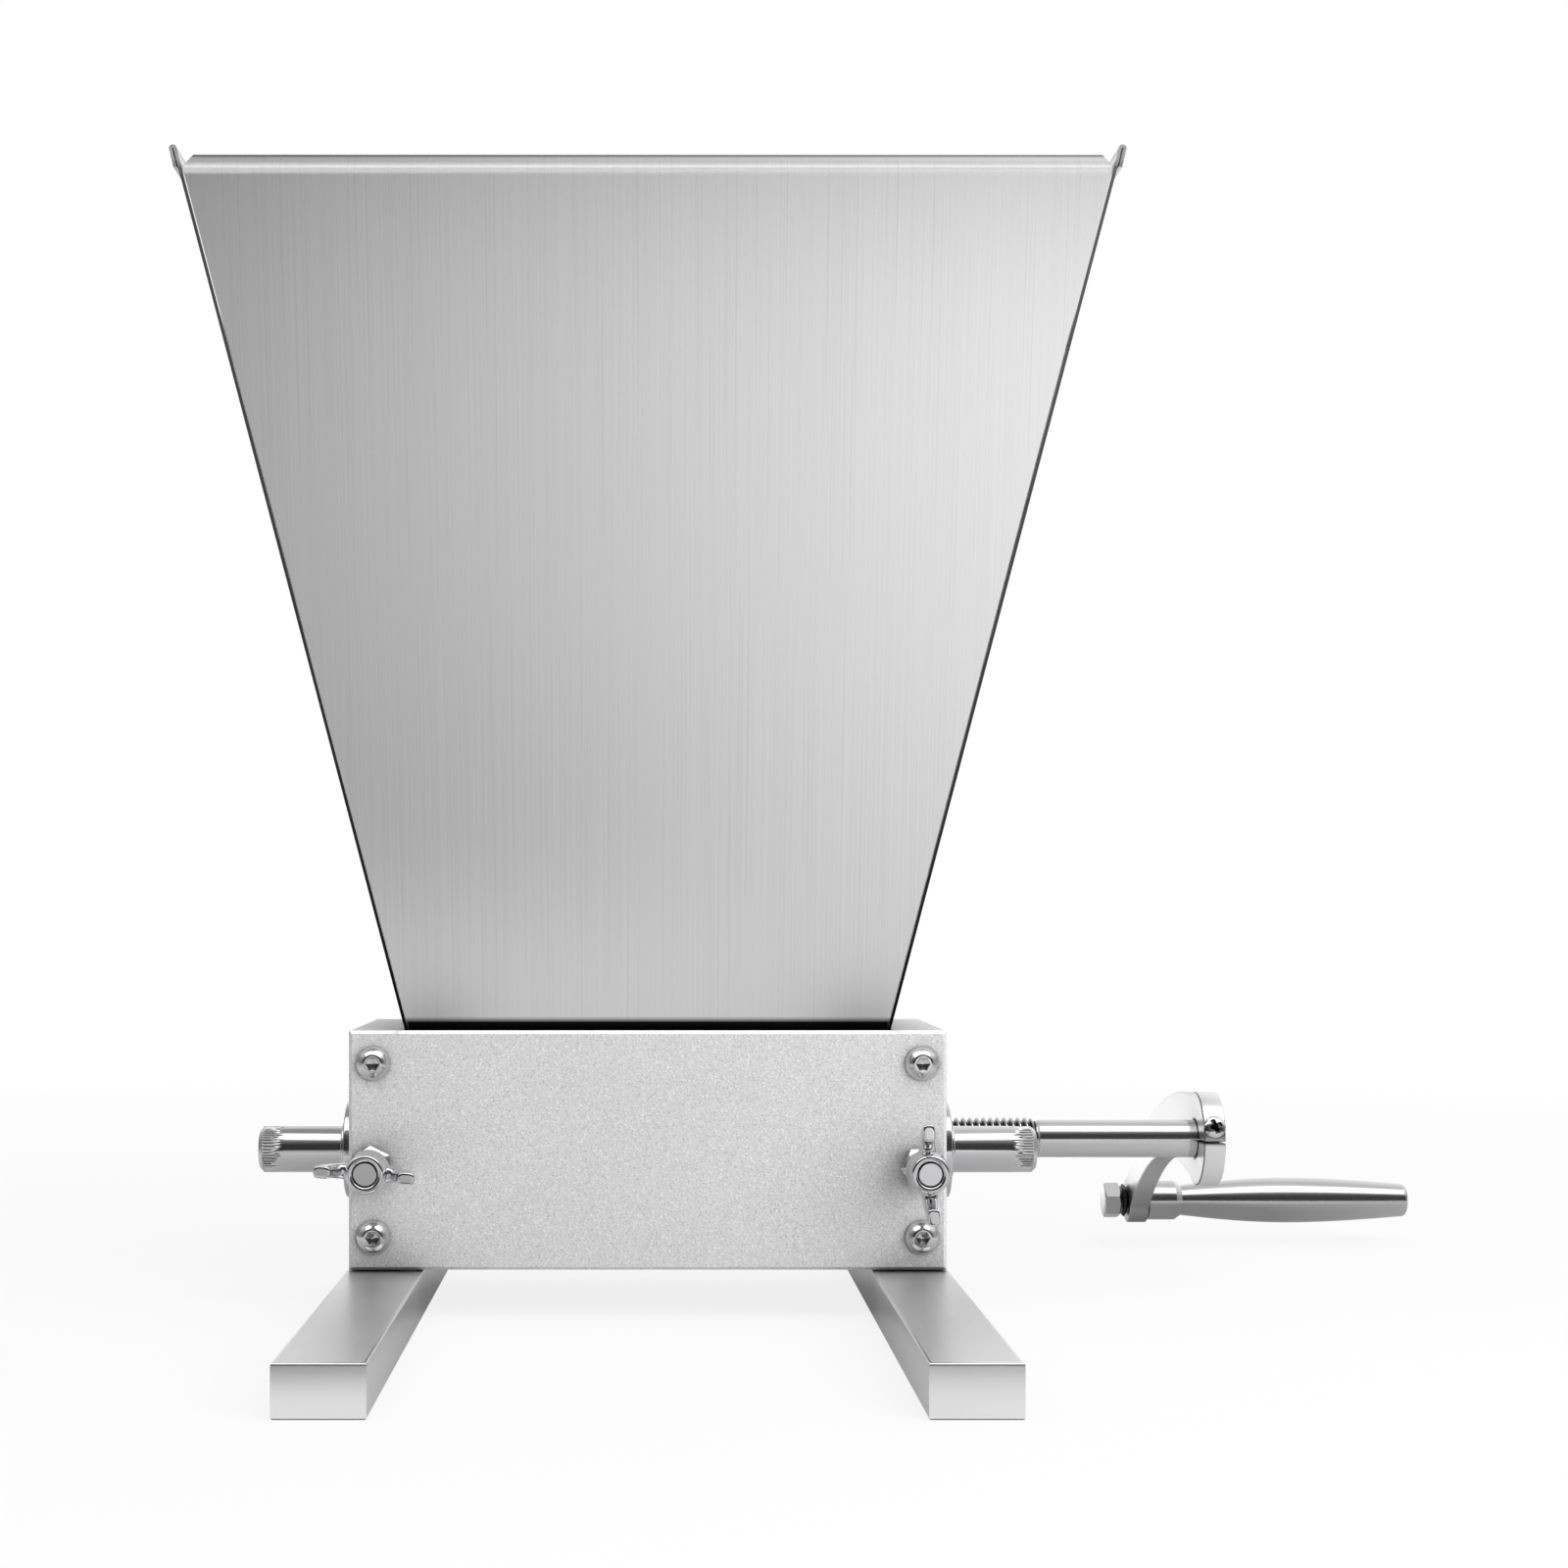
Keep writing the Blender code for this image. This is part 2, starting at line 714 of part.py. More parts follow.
def idler_shaft_profile():
    half = ROLLER_LENGTH / 2
    end = half + IDLER_JOURNAL_LENGTH
    right = [
        (0, end),
        (IDLER_JOURNAL_RADIUS - SHAFT_CHAMFER, end),
        (IDLER_JOURNAL_RADIUS, end - SHAFT_CHAMFER),
        (IDLER_JOURNAL_RADIUS, half),
        (ROLLER_CORE_RADIUS, half),
    ]
    left = [(radius, -height) for radius, height in reversed(right)]
    return right + left


def make_washers(name, journal, parent):
    """Thrust washers on both journals, between the roller's ends and the end plates."""
    low = HALF_OPENING - GAP - WASHER_THICKNESS
    ring = tube(name, WASHER_RADIUS, journal + BORE_PLAY, low, low + WASHER_THICKNESS)
    for side, way in SIDES:
        turn = ALONG_X if way > 0 else AGAINST_X
        part(f"{side}_{name}", ring, BRONZE, (0, 0, 0), turn, parent)


def make_drive(crank):
    make_roller("drive_roller", (0, 0, 0), crank, ALONG_X, 1)
    shaft = turned("drive_shaft", drive_shaft_profile(), ROUND_STEPS)
    part("drive_shaft", shaft, POLISHED, (0, 0, 0), ALONG_X, crank)
    make_washers("drive_washer", DRIVE_JOURNAL_RADIUS, crank)
    bush = tube(
        "drive_bush",
        BUSH_RADIUS,
        DRIVE_JOURNAL_RADIUS + BORE_PLAY,
        HALF_OPENING,
        HALF_WIDTH,
        ROUND_STEPS,
    )
    for side, way in SIDES:
        turn = ALONG_X if way > 0 else AGAINST_X
        place = (0, DRIVE_Y, AXIS_HEIGHT)
        part(f"{side}_drive_bush", bush, BRONZE, place, turn)


def make_idler():
    idler = empty("idler_axis", (0, ADJUSTER_Y, AXIS_HEIGHT + ECCENTRICITY), parent=MILL)
    make_roller("idler_roller", (0, 0, 0), idler, ALONG_X, -1)
    shaft = turned("idler_shaft", idler_shaft_profile(), ROUND_STEPS)
    part("idler_shaft", shaft, POLISHED, (0, 0, 0), ALONG_X, idler)
    make_washers("idler_washer", IDLER_JOURNAL_RADIUS, idler)


# Eccentric adjusters


def adjuster_profile():
    """Knob end first: stem, boss, flange outside the end plate, sleeve inside it."""
    boss_end = FLANGE_THICKNESS + BOSS_LENGTH
    return [
        (0, ADJUSTER_REACH),
        (ADJUSTER_STEM_RADIUS - KNOB_CHAMFER, ADJUSTER_REACH),
        (ADJUSTER_STEM_RADIUS, ADJUSTER_REACH - KNOB_CHAMFER),
        (ADJUSTER_STEM_RADIUS, boss_end),
        (BOSS_RADIUS, boss_end),
        (BOSS_RADIUS, FLANGE_THICKNESS),
        (FLANGE_RADIUS - PLATE_EDGE, FLANGE_THICKNESS),
        (FLANGE_RADIUS, FLANGE_THICKNESS - PLATE_EDGE),
        (FLANGE_RADIUS, GAP),
        (SLEEVE_RADIUS, GAP),
        (SLEEVE_RADIUS, -END_PLATE_THICKNESS),
        (0, -END_PLATE_THICKNESS),
    ]


def knurl_cutter():
    """A ring round the knob's end whose bore is the toothed outline, so that grooves are left."""
    low = ADJUSTER_REACH - KNURL_LENGTH
    high = ADJUSTER_REACH + OVERRUN
    outer = rod("knurl", ADJUSTER_STEM_RADIUS + OVERRUN, low, high, 0, SMALL_STEPS)
    crest = ADJUSTER_STEM_RADIUS + KNURL_DEPTH / 2
    root = ADJUSTER_STEM_RADIUS - KNURL_DEPTH
    teeth = toothed_bar(
        "teeth", crest, root, KNURL_TEETH, low - OVERRUN, high + OVERRUN, 0, 1
    )
    return combined("knurl", outer, [("DIFFERENCE", teeth)])


def journal_bore(way):
    """The blind bore for the idler's journal, off the adjuster's own axis, upwards at rest."""
    end = ROLLER_LENGTH / 2 + IDLER_JOURNAL_LENGTH - HALF_WIDTH + GAP
    mouth = -END_PLATE_THICKNESS - OVERRUN
    x = -way * ECCENTRICITY
    hole = ((x, 0, mouth), (x, 0, end), IDLER_JOURNAL_RADIUS + BORE_PLAY, ROUND_STEPS)
    return drills("journal_bore", [hole])


def make_adjusters():
    for side, way in SIDES:
        name = f"{side}_adjuster"
        body = turned(name, adjuster_profile(), ROUND_STEPS)
        cuts = [("DIFFERENCE", knurl_cutter()), ("DIFFERENCE", journal_bore(way))]
        mesh = combined(name, body, cuts)
        place = (way * HALF_WIDTH, ADJUSTER_Y, AXIS_HEIGHT)
        part(name, mesh, POLISHED, place, ALONG_X if way > 0 else AGAINST_X)


# Wing screws


def wing_outline():
    """Both wings from the side: up the right one, over its tip and down to the hub."""
    reach = WING_SPAN / 2
    top = WING_HUB_LENGTH + WING_TIP_RISE
    right = [
        (WING_HUB_FRONT_RADIUS, WING_ROOT_LOW),
        (WING_ELBOW_REACH, WING_ELBOW_HEIGHT),
        (reach, top - WING_TIP_LENGTH),
        (reach, top),
        (reach - WING_TIP_LENGTH, top),
        (WING_HUB_FRONT_RADIUS, WING_ROOT_HIGH),
    ]
    left = [(-x, z) for x, z in reversed(right)]
    return right + left


def wing_mesh():
    """Two wings joined to a tapered hub and bored for the stud; the hub's back is at height 0."""
    plate = flat_plate("wings", wing_outline(), WING_THICKNESS)
    wings = edges_broken("wings", plate, WING_EDGE, 2)
    wings.transform(Matrix.Rotation(math.pi / 2, 4, "X"))
    profile = [
        (0, WING_HUB_LENGTH),
        (WING_HUB_FRONT_RADIUS - WING_HUB_EDGE, WING_HUB_LENGTH),
        (WING_HUB_FRONT_RADIUS, WING_HUB_LENGTH - WING_HUB_EDGE),
        (WING_HUB_BACK_RADIUS, WING_HUB_EDGE),
        (WING_HUB_BACK_RADIUS - WING_HUB_EDGE, 0),
        (0, 0),
    ]
    hub = turned("hub", profile, SMALL_STEPS)
    bore = rod(
        "bore", LOCK_STUD_RADIUS + BORE_PLAY, -OVERRUN, WING_HUB_LENGTH + OVERRUN, 0, SMALL_STEPS
    )
    return combined("wing", wings, [("UNION", hub), ("DIFFERENCE", bore)])


def nut(name, across, low, high, bore):
    """A hexagon nut round Z."""
    hexagon = hex_head(name, across, low, high)
    hole = rod("bore", bore, low - OVERRUN, high + OVERRUN, 0, SMALL_STEPS)
    return combined(name, hexagon, [("DIFFERENCE", hole)])


def facing_front(spin):
    """Lays a piece over so that it points to the front, turned round its own axis by the spin."""
    return (math.pi / 2, -spin, 0)


def make_lock_screws():
    inner = -HALF_DEPTH - LOCK_TIP_Y
    stud = rod("lock_stud", LOCK_STUD_RADIUS, inner, LOCK_REACH, PLATE_EDGE, SMALL_STEPS)
    hole = LOCK_STUD_RADIUS + BORE_PLAY
    jam = nut("lock_nut", LOCK_NUT_ACROSS, GAP, GAP + LOCK_NUT_THICKNESS, hole)
    wings = wing_mesh()
    wing_y = -HALF_DEPTH - LOCK_REACH + WING_HUB_LENGTH
    turns = {
        "left": (LEFT_WING_TILT, LEFT_NUT_TURN),
        "right": (RIGHT_WING_TILT, RIGHT_NUT_TURN),
    }
    for side, way in SIDES:
        wing_tilt, nut_turn = turns[side]
        place = (way * SCREW_X, -HALF_DEPTH, LOCK_HEIGHT)
        part(f"{side}_lock_stud", stud, POLISHED, place, TO_FRONT)
        part(f"{side}_lock_nut", jam, POLISHED, place, facing_front(nut_turn))
        wing_place = (way * SCREW_X, wing_y, LOCK_HEIGHT)
        part(f"{side}_wing", wings, POLISHED, wing_place, facing_front(wing_tilt))


# Hopper


def hem(start, end, outwards):
    """A fold beside the end of a sheet that runs from start to end: two more path points."""
    run = (end - start).normalized()
    side = Vector((run.y, -run.x)) * (1 if outwards else -1)
    fold = end + side * (SHEET + GAP)
    return [fold, fold - run * HEM_WIDTH]


def sheet_wall(name, path, half_lengths):
    """A folded sheet: each path point is (distance outwards, height), with its half length."""
    bm = bmesh.new()
    (reach, height), half = path[0], half_lengths[0]
    ends = [bm.verts.new((way * half, reach, height)) for way in (-1, 1)]
    edge = bm.edges.new(ends)
    for (reach, height), half in zip(path[1:], half_lengths[1:]):
        grown = bmesh.ops.extrude_edge_only(bm, edges=[edge])["geom"]
        edge = next(item for item in grown if isinstance(item, bmesh.types.BMEdge))
        for point in edge.verts:
            point.co = (math.copysign(half, point.co.x), reach, height)
    bmesh.ops.recalc_face_normals(bm, faces=bm.faces[:])
    return mesh_of(bm, name)


def front_wall_mesh():
    """A long wall: spigot, slope, and a lip bent inwards whose edge is hemmed underneath."""
    spigot = SPIGOT_Y - SHEET / 2
    top = HOPPER_TOP_HALF_DEPTH - SHEET / 2
    bend = BODY_TOP + HOPPER_BEND_HEIGHT
    path = [
        Vector((spigot, SPIGOT_LOW)),
        Vector((spigot, BODY_TOP)),
        Vector((top, bend)),
        Vector((top - LIP_INSET, bend + LIP_RISE)),
    ]
    path += hem(path[2], path[3], outwards=False)
    margin = SHEET + GAP
    low = SPIGOT_X - margin
    high = HOPPER_TOP_HALF_WIDTH - margin
    cut = high - LIP_CORNER
    return sheet_wall("front_wall", path, [low, low, high, cut, cut, cut])


def side_wall_mesh():
    """An end wall: spigot and slope, with its top edge hemmed outside."""
    spigot = SPIGOT_X - SHEET / 2
    path = [
        Vector((spigot, SPIGOT_LOW)),
        Vector((spigot, BODY_TOP)),
        Vector((HOPPER_TOP_HALF_WIDTH - SHEET / 2, BODY_TOP + HOPPER_BEND_HEIGHT)),
        Vector((RIM_X - SHEET / 2, BODY_TOP + RIM_HEIGHT)),
    ]
    path += hem(path[2], path[3], outwards=True)
    low = SPIGOT_Y
    high = HOPPER_TOP_HALF_DEPTH
    return sheet_wall("side_wall", path, [low, low, high, high, high, high])


def make_hopper():
    long_wall = front_wall_mesh()
    end_wall = side_wall_mesh()
    walls = (
        ("hopper_back", long_wall, 0),
        ("hopper_front", long_wall, math.pi),
        ("hopper_left", end_wall, math.pi / 2),
        ("hopper_right", end_wall, -math.pi / 2),
    )
    for name, mesh, turn in walls:
        wall = part(name, mesh, BRUSHED, (0, 0, 0), (0, 0, turn))
        thickness = wall.modifiers.new("sheet", "SOLIDIFY")
        thickness.thickness = SHEET
        thickness.offset = 0
        thickness.use_even_offset = True


# Crank


def crank_edges(steps):
    """Upper and lower edge points of the arm, on both sides of an arc from hub to eye."""
    radius = (CRANK_THROW**2 / 4 + CRANK_BOW**2) / (2 * CRANK_BOW)
    centre = Vector((CRANK_THROW / 2, CRANK_BOW - radius))
    swing = math.asin(CRANK_THROW / 2 / radius)
    upper, lower = [], []
    for i in range(steps + 1):
        share = i / steps
        angle = blend(-swing, swing, share)
        out = Vector((math.sin(angle), math.cos(angle)))
        half = blend(CRANK_WAIST_HALF_WIDTH, CRANK_ROOT_HALF_WIDTH, (1 - share) ** 2)
        upper.append(centre + out * (radius + half))
        lower.append(centre + out * (radius - half))
    return upper, lower


def arc(radius, start, end, steps, centre=(0, 0)):
    """Points of an arc without its two ends."""
    return [polar(radius, blend(start, end, i / steps), centre) for i in range(1, steps)]


def crank_outline():
    """Round the hub, out along the lower edge, round the eye and back along the upper edge."""
    eye = Vector((CRANK_THROW, 0))

    def free(point):
        clear_hub = point.length > CRANK_HUB_RADIUS
        return clear_hub and (point - eye).length > CRANK_EYE_RADIUS

    upper, lower = (
        [point for point in edge if free(point)] for edge in crank_edges(2 * CURVE_STEPS)
    )
    above = math.atan2(upper[0].y, upper[0].x)
    below = math.atan2(lower[0].y, lower[0].x)
    hub = arc(CRANK_HUB_RADIUS, above, below + 2 * math.pi, 2 * CURVE_STEPS)
    over = math.atan2(upper[-1].y, upper[-1].x - CRANK_THROW)
    under = math.atan2(lower[-1].y, lower[-1].x - CRANK_THROW)
    tip = arc(CRANK_EYE_RADIUS, under, over, CURVE_STEPS, eye)
    return [*hub, *map(tuple, lower), *tip, *map(tuple, reversed(upper))]


def crank_cuts():
    """The shaft's bore, the bolt's hole, the slit, and the clamp screw's seat and hole."""
    deep = CRANK_THICKNESS / 2 + OVERRUN
    slit_angle = math.pi + CRANK_DROOP
    clamp_angle = slit_angle - CLAMP_LIFT
    reach = CRANK_HUB_RADIUS + OVERRUN
    slit = box("slit", (reach, SLIT_WIDTH, 2 * deep))
    slit.transform(
        Matrix.Rotation(slit_angle, 4, "Z") @ Matrix.Translation((reach / 2, 0, 0))
    )
    bores = [
        ((0, 0, -deep), (0, 0, deep), DRIVE_STEM_RADIUS + BORE_PLAY, ROUND_STEPS),
        (
            (CRANK_THROW, 0, -deep),
            (CRANK_THROW, 0, deep),
            GRIP_BOLT_RADIUS + BORE_PLAY,
            SMALL_STEPS,
        ),
    ]
    seat = CRANK_HUB_RADIUS - CLAMP_SEAT_DEPTH
    seat_hole = (
        (*polar(seat, clamp_angle), 0),
        (*polar(reach, clamp_angle), 0),
        CLAMP_HEAD_RADIUS + GAP,
        SMALL_STEPS,
    )
    shank_hole = (
        (*polar(DRIVE_STEM_RADIUS / 2, clamp_angle), 0),
        (*polar(reach, clamp_angle), 0),
        CLAMP_SHANK_RADIUS + BORE_PLAY,
        SMALL_STEPS,
    )
    return [
        ("DIFFERENCE", drills("bores", bores)),
        ("DIFFERENCE", slit),
        ("DIFFERENCE", drills("seat", [seat_hole])),
        ("DIFFERENCE", drills("shank", [shank_hole])),
    ]


def make_crank_arm(crank):
    plate = flat_plate("crank_arm", crank_outline(), CRANK_THICKNESS)
    mesh = combined("crank_arm", edges_broken("crank_arm", plate, CRANK_EDGE), crank_cuts())
    place = (CRANK_X + CRANK_THICKNESS / 2, 0, 0)
    part("crank_arm", mesh, BAR, place, (math.pi / 2, 0, math.pi / 2), crank)


def make_crank_screw(crank):
    """The screw in the hub's rim; it points at the shaft, so its tip is at the low end."""
    seat = CRANK_HUB_RADIUS - CLAMP_SEAT_DEPTH + GAP
    tip = DRIVE_STEM_RADIUS + GAP
    profile = [
        (0, seat + CLAMP_HEAD_HEIGHT),
        *[
            (radius, seat + height)
            for radius, height in dome(
                CLAMP_HEAD_RADIUS, CLAMP_HEAD_HEIGHT, CLAMP_HEAD_RADIUS / 2
            )
        ],
        (CLAMP_SHANK_RADIUS, seat),
        (CLAMP_SHANK_RADIUS, tip),
        (0, tip),
    ]
    mesh = turned("crank_screw", profile, SMALL_STEPS)
    x = CRANK_X + CRANK_THICKNESS / 2
    lean = math.pi / 2 + CRANK_DROOP - CLAMP_LIFT
    part("crank_screw", mesh, POLISHED, (x, 0, 0), (lean, 0, 0), crank)


def grip_profile():
    """Outer end first: rounded end, belly, neck, chamfer and ferrule, then up the blind bore."""
    bore = GRIP_BOLT_RADIUS + BORE_PLAY
    groove = bore + RING_STEP + GAP
    half_groove = RING_WIDTH / 2 + GAP
    rounding = [
        (
            GRIP_END_RADIUS - GRIP_END_ROUND * (1 - math.sin(angle)),
            GRIP_LENGTH - GRIP_END_ROUND * (1 - math.cos(angle)),
        )
        for angle in (0, math.pi / 4, math.pi / 2)
    ]
    tail = GRIP_LENGTH - GRIP_END_ROUND
    belly = []
    for i in range(1, BELLY_STEPS):
        share = i / BELLY_STEPS
        radius = blend(GRIP_BELLY_RADIUS, GRIP_END_RADIUS, 1 - math.cos(math.pi / 2 * (1 - share)))
        belly.append((radius, blend(tail, GRIP_BELLY_PLACE, share)))
    for i in range(BELLY_STEPS + 1):
        share = i / BELLY_STEPS
        radius = blend(NECK_RADIUS, GRIP_BELLY_RADIUS, math.sin(math.pi / 2 * (1 - share)))
        belly.append((radius, blend(GRIP_BELLY_PLACE, NECK_PLACE, share)))
    return [
        (0, GRIP_LENGTH),
        *rounding,
        *belly,
        (FERRULE_RADIUS, FERRULE_LENGTH),
        (FERRULE_RADIUS, PLATE_EDGE),
        (FERRULE_RADIUS - PLATE_EDGE, 0),
        (bore, 0),
        (bore, RING_PLACE - half_groove),
        (groove, RING_PLACE - half_groove),
        (groove, RING_PLACE + half_groove),
        (bore, RING_PLACE + half_groove),
        (bore, GRIP_BORE_DEPTH),
        (0, GRIP_BORE_DEPTH),
    ]


def grip_bolt_mesh():
    """A hexagon bolt through the arm's eye: head inside, shank in the grip; 0 is the grip's end."""
    arm_face = -CRANK_THICKNESS - GAP
    head_top = arm_face - BOLT_HEAD_STANDOFF
    end = GRIP_BORE_DEPTH - GAP
    groove = GRIP_BOLT_RADIUS - RING_STEP - GAP
    half_groove = RING_WIDTH / 2 + GAP
    profile = [
        (0, end),
        (GRIP_BOLT_RADIUS - PLATE_EDGE, end),
        (GRIP_BOLT_RADIUS, end - PLATE_EDGE),
        (GRIP_BOLT_RADIUS, RING_PLACE + half_groove),
        (groove, RING_PLACE + half_groove),
        (groove, RING_PLACE - half_groove),
        (GRIP_BOLT_RADIUS, RING_PLACE - half_groove),
        (GRIP_BOLT_RADIUS, head_top - BOLT_HEAD_THICKNESS / 2),
        (0, head_top - BOLT_HEAD_THICKNESS / 2),
    ]
    shank = turned("grip_bolt", profile, SMALL_STEPS)
    low = head_top - BOLT_HEAD_THICKNESS
    head = hex_head("bolt_head", BOLT_HEAD_ACROSS, low, head_top)
    return combined("grip_bolt", head, [("UNION", shank)])


def make_grip(crank):
    place = (GRIP_X, CRANK_THROW, 0)
    part("grip", turned("grip", grip_profile(), ROUND_STEPS), POLISHED, place, ALONG_X, crank)
    part("grip_bolt", grip_bolt_mesh(), POLISHED, place, ALONG_X, crank)
    high = -GAP - CRANK_THICKNESS - GAP
    hole = GRIP_BOLT_RADIUS + BORE_PLAY
    jam = nut("grip_lock_nut", GRIP_NUT_ACROSS, high - GRIP_NUT_THICKNESS, high, hole)
    part("grip_lock_nut", jam, DARK, place, ALONG_X, crank)
    ring = tube(
        "grip_ring",
        GRIP_BOLT_RADIUS + BORE_PLAY + RING_STEP,
        GRIP_BOLT_RADIUS - RING_STEP,
        RING_PLACE - RING_WIDTH / 2,
        RING_PLACE + RING_WIDTH / 2,
        SMALL_STEPS,
    )
    part("grip_ring", ring, HARDENED, place, ALONG_X, crank)


def make_mill():
    crank = empty("crank_axis", (0, DRIVE_Y, AXIS_HEIGHT), (-CRANK_DROOP, 0, 0), MILL)
    make_feet()
    make_end_plates()
    make_covers()
    make_cover_screws()
    make_drive(crank)
    make_idler()
    make_adjusters()
    make_lock_screws()
    make_hopper()
    make_crank_arm(crank)
    make_crank_screw(crank)
    make_grip(crank)


make_mill()
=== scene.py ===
"""The grain mill dressed for its picture: fine surfaces, finishes, a studio and a camera.

The file is laid out as an add-on and run as a script. Lengths are in metres, +Z is up, and the
front of the mill looks towards -Y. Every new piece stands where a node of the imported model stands.
"""

import json
import math

import bmesh
import bpy
import numpy as np
from bpy.props import FloatProperty, FloatVectorProperty, IntProperty, PointerProperty
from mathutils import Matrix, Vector
from mathutils.geometry import tessellate_polygon

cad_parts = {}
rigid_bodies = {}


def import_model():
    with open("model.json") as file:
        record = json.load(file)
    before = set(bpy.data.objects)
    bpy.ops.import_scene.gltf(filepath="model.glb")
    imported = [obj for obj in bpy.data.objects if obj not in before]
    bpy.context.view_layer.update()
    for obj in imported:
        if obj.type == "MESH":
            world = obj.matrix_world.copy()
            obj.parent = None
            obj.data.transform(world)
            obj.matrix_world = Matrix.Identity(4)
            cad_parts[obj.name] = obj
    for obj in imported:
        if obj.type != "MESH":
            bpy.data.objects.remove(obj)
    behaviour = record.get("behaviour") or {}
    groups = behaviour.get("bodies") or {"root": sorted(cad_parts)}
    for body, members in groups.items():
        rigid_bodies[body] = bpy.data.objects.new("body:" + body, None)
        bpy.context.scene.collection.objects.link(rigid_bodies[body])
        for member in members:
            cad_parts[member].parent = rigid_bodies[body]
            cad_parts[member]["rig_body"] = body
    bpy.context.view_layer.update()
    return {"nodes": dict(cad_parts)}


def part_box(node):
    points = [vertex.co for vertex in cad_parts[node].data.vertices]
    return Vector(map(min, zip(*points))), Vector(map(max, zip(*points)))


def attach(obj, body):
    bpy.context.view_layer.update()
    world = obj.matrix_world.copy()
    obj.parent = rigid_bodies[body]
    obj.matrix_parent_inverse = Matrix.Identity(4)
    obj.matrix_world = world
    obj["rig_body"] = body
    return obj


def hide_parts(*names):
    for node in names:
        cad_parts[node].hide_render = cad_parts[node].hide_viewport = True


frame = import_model()

bl_info = {
    "name": "Grain Mill",
    "version": (1, 0, 0),
    "blender": (4, 5, 0),
    "location": "3D View > Sidebar > Mill",
    "description": "Fine surfaces, finishes and a studio for the grain mill",
    "category": "Object",
}

# Clearances and tolerances
GAP = 0.0003
BORE_PLAY = 0.0001
MERGE = 2e-7
SHARP = math.radians(32)
SHARP_FLATS = math.radians(20)

# Counts of points round a turned piece and along a curve
ROUND = 96
SMALL_ROUND = 72
CORNER = 5

FULL_TURN = 2 * math.pi
QUARTER_TURN = math.pi / 2
CHAMFER_SLOPE = math.tan(math.pi / 6)
UP = np.array([0, 0, 1])

# Directions: a piece is worked out round Z and laid over by one of these
UPRIGHT = np.eye(3)
ALONG_X = np.array([[0, 0, 1], [0, 1, 0], [-1, 0, 0]])
AGAINST_X = np.array([[0, 0, -1], [0, 1, 0], [1, 0, 0]])
TO_FRONT = np.array([[1, 0, 0], [0, 0, -1], [0, 1, 0]])
TO_BACK = np.array([[1, 0, 0], [0, 0, 1], [0, -1, 0]])

SIDES = (("left", -1), ("right", 1))
FACES = (("front", -1, TO_FRONT), ("back", 1, TO_BACK))


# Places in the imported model


def middle(node):
    """The middle of a node's box."""
    low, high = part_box(node)
    return np.array((low + high) / 2)


def corners(node):
    """The low and the high corner of a node's box."""
    low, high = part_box(node)
    return np.array(low), np.array(high)


MILL_X = middle("front_cover")[0]
BODY_LOW, BODY_HIGH = corners("front_cover")
BODY_TOP = BODY_HIGH[2]
HALF_WIDTH = (BODY_HIGH[0] - BODY_LOW[0]) / 2
HALF_DEPTH = -BODY_LOW[1]
END_PLATE_THICKNESS = 0.014
COVER_THICKNESS = 0.003
INNER_DEPTH = HALF_DEPTH - COVER_THICKNESS
HALF_OPENING = HALF_WIDTH - END_PLATE_THICKNESS
WASHER_THICKNESS = 0.0009
ROLLER_HALF = HALF_OPENING - GAP - WASHER_THICKNESS - GAP
DRIVE_AXIS = middle("drive_shaft")
SHAFT_END = corners("drive_shaft")[1][0] - MILL_X
STEM_RADIUS = 0.0052
PIN_BORE = 0.0031
CRANK_DROOP = math.radians(15.2)
BEND_HEIGHT = BODY_TOP + 0.2105
FOLD_HEIGHT = BEND_HEIGHT + 0.0008
RIM_HEIGHT = BEND_HEIGHT + 0.0060


# Sizes and colours that a user would change


def size(name, description, default, least):
    """A length that a user may set, down to the least."""
    return FloatProperty(
        name=name, description=description, default=default, min=least, unit="LENGTH"
    )


def amount(name, description, default, least=0):
    """A plain number that a user may set, down to the least."""
    return FloatProperty(name=name, description=description, default=default, min=least)


def grey_colour(name, description, default, blue=None):
    """A neutral colour that a user may set, with a touch more blue where it is given."""
    colour = (default, default, blue or default)
    return FloatVectorProperty(
        name=name, description=description, default=colour, subtype="COLOR", size=3
    )


class MillSizes(bpy.types.PropertyGroup):
    """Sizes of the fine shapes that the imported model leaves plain."""

    shaft_pitch: size("Shaft thread pitch", "Rise of the shaft's thread in a turn", 0.0019, 0.001)
    stud_pitch: size("Stud thread pitch", "Rise of the studs' thread in a turn", 0.001, 0.0005)
    knurl_teeth: IntProperty(
        name="Knurl teeth",
        description="Number of grooves round each adjuster's knob",
        default=46,
        min=12,
    )
    sheet_bend: size("Sheet bend", "Radius of the folds in the hopper's sheets", 0.0014, 0.0005)
    arm_edge: size("Arm edge", "Rounding of the crank arm's edges", 0.0004, 0.0001)
    plate_edge: size("Plate edge", "Rounding of the covers' outer edges", 0.0008, 0.0001)
    bar_edge: size("Bar edge", "Rounding of the feet's edges", 0.0007, 0.0001)


class MillColours(bpy.types.PropertyGroup):
    """Colours of the bare metals."""

    blasted: grey_colour("Blasted aluminium", "Colour of the body's plates", 0.86)
    bar: grey_colour("Satin bar", "Colour of the feet and the crank arm", 0.81)
    sheet: grey_colour("Brushed sheet", "Colour of the hopper", 0.74)
    steel: grey_colour("Polished steel", "Colour of shafts, knobs, grip and screws", 0.62, 0.63)


class MillStudio(bpy.types.PropertyGroup):
    """The floor, the lamps and the camera."""

    floor: grey_colour("Floor", "Colour of the floor", 0.80)
    top_power: amount("Top lamp", "Power of the wide lamp above the mill", 8.8)
    fill_power: amount("Fill lamp", "Power of the front lamp, which metal doesn't reflect", 21.0)
    lens: amount("Lens", "Focal length of the camera in millimetres", 61.15, 20)


# Surfaces


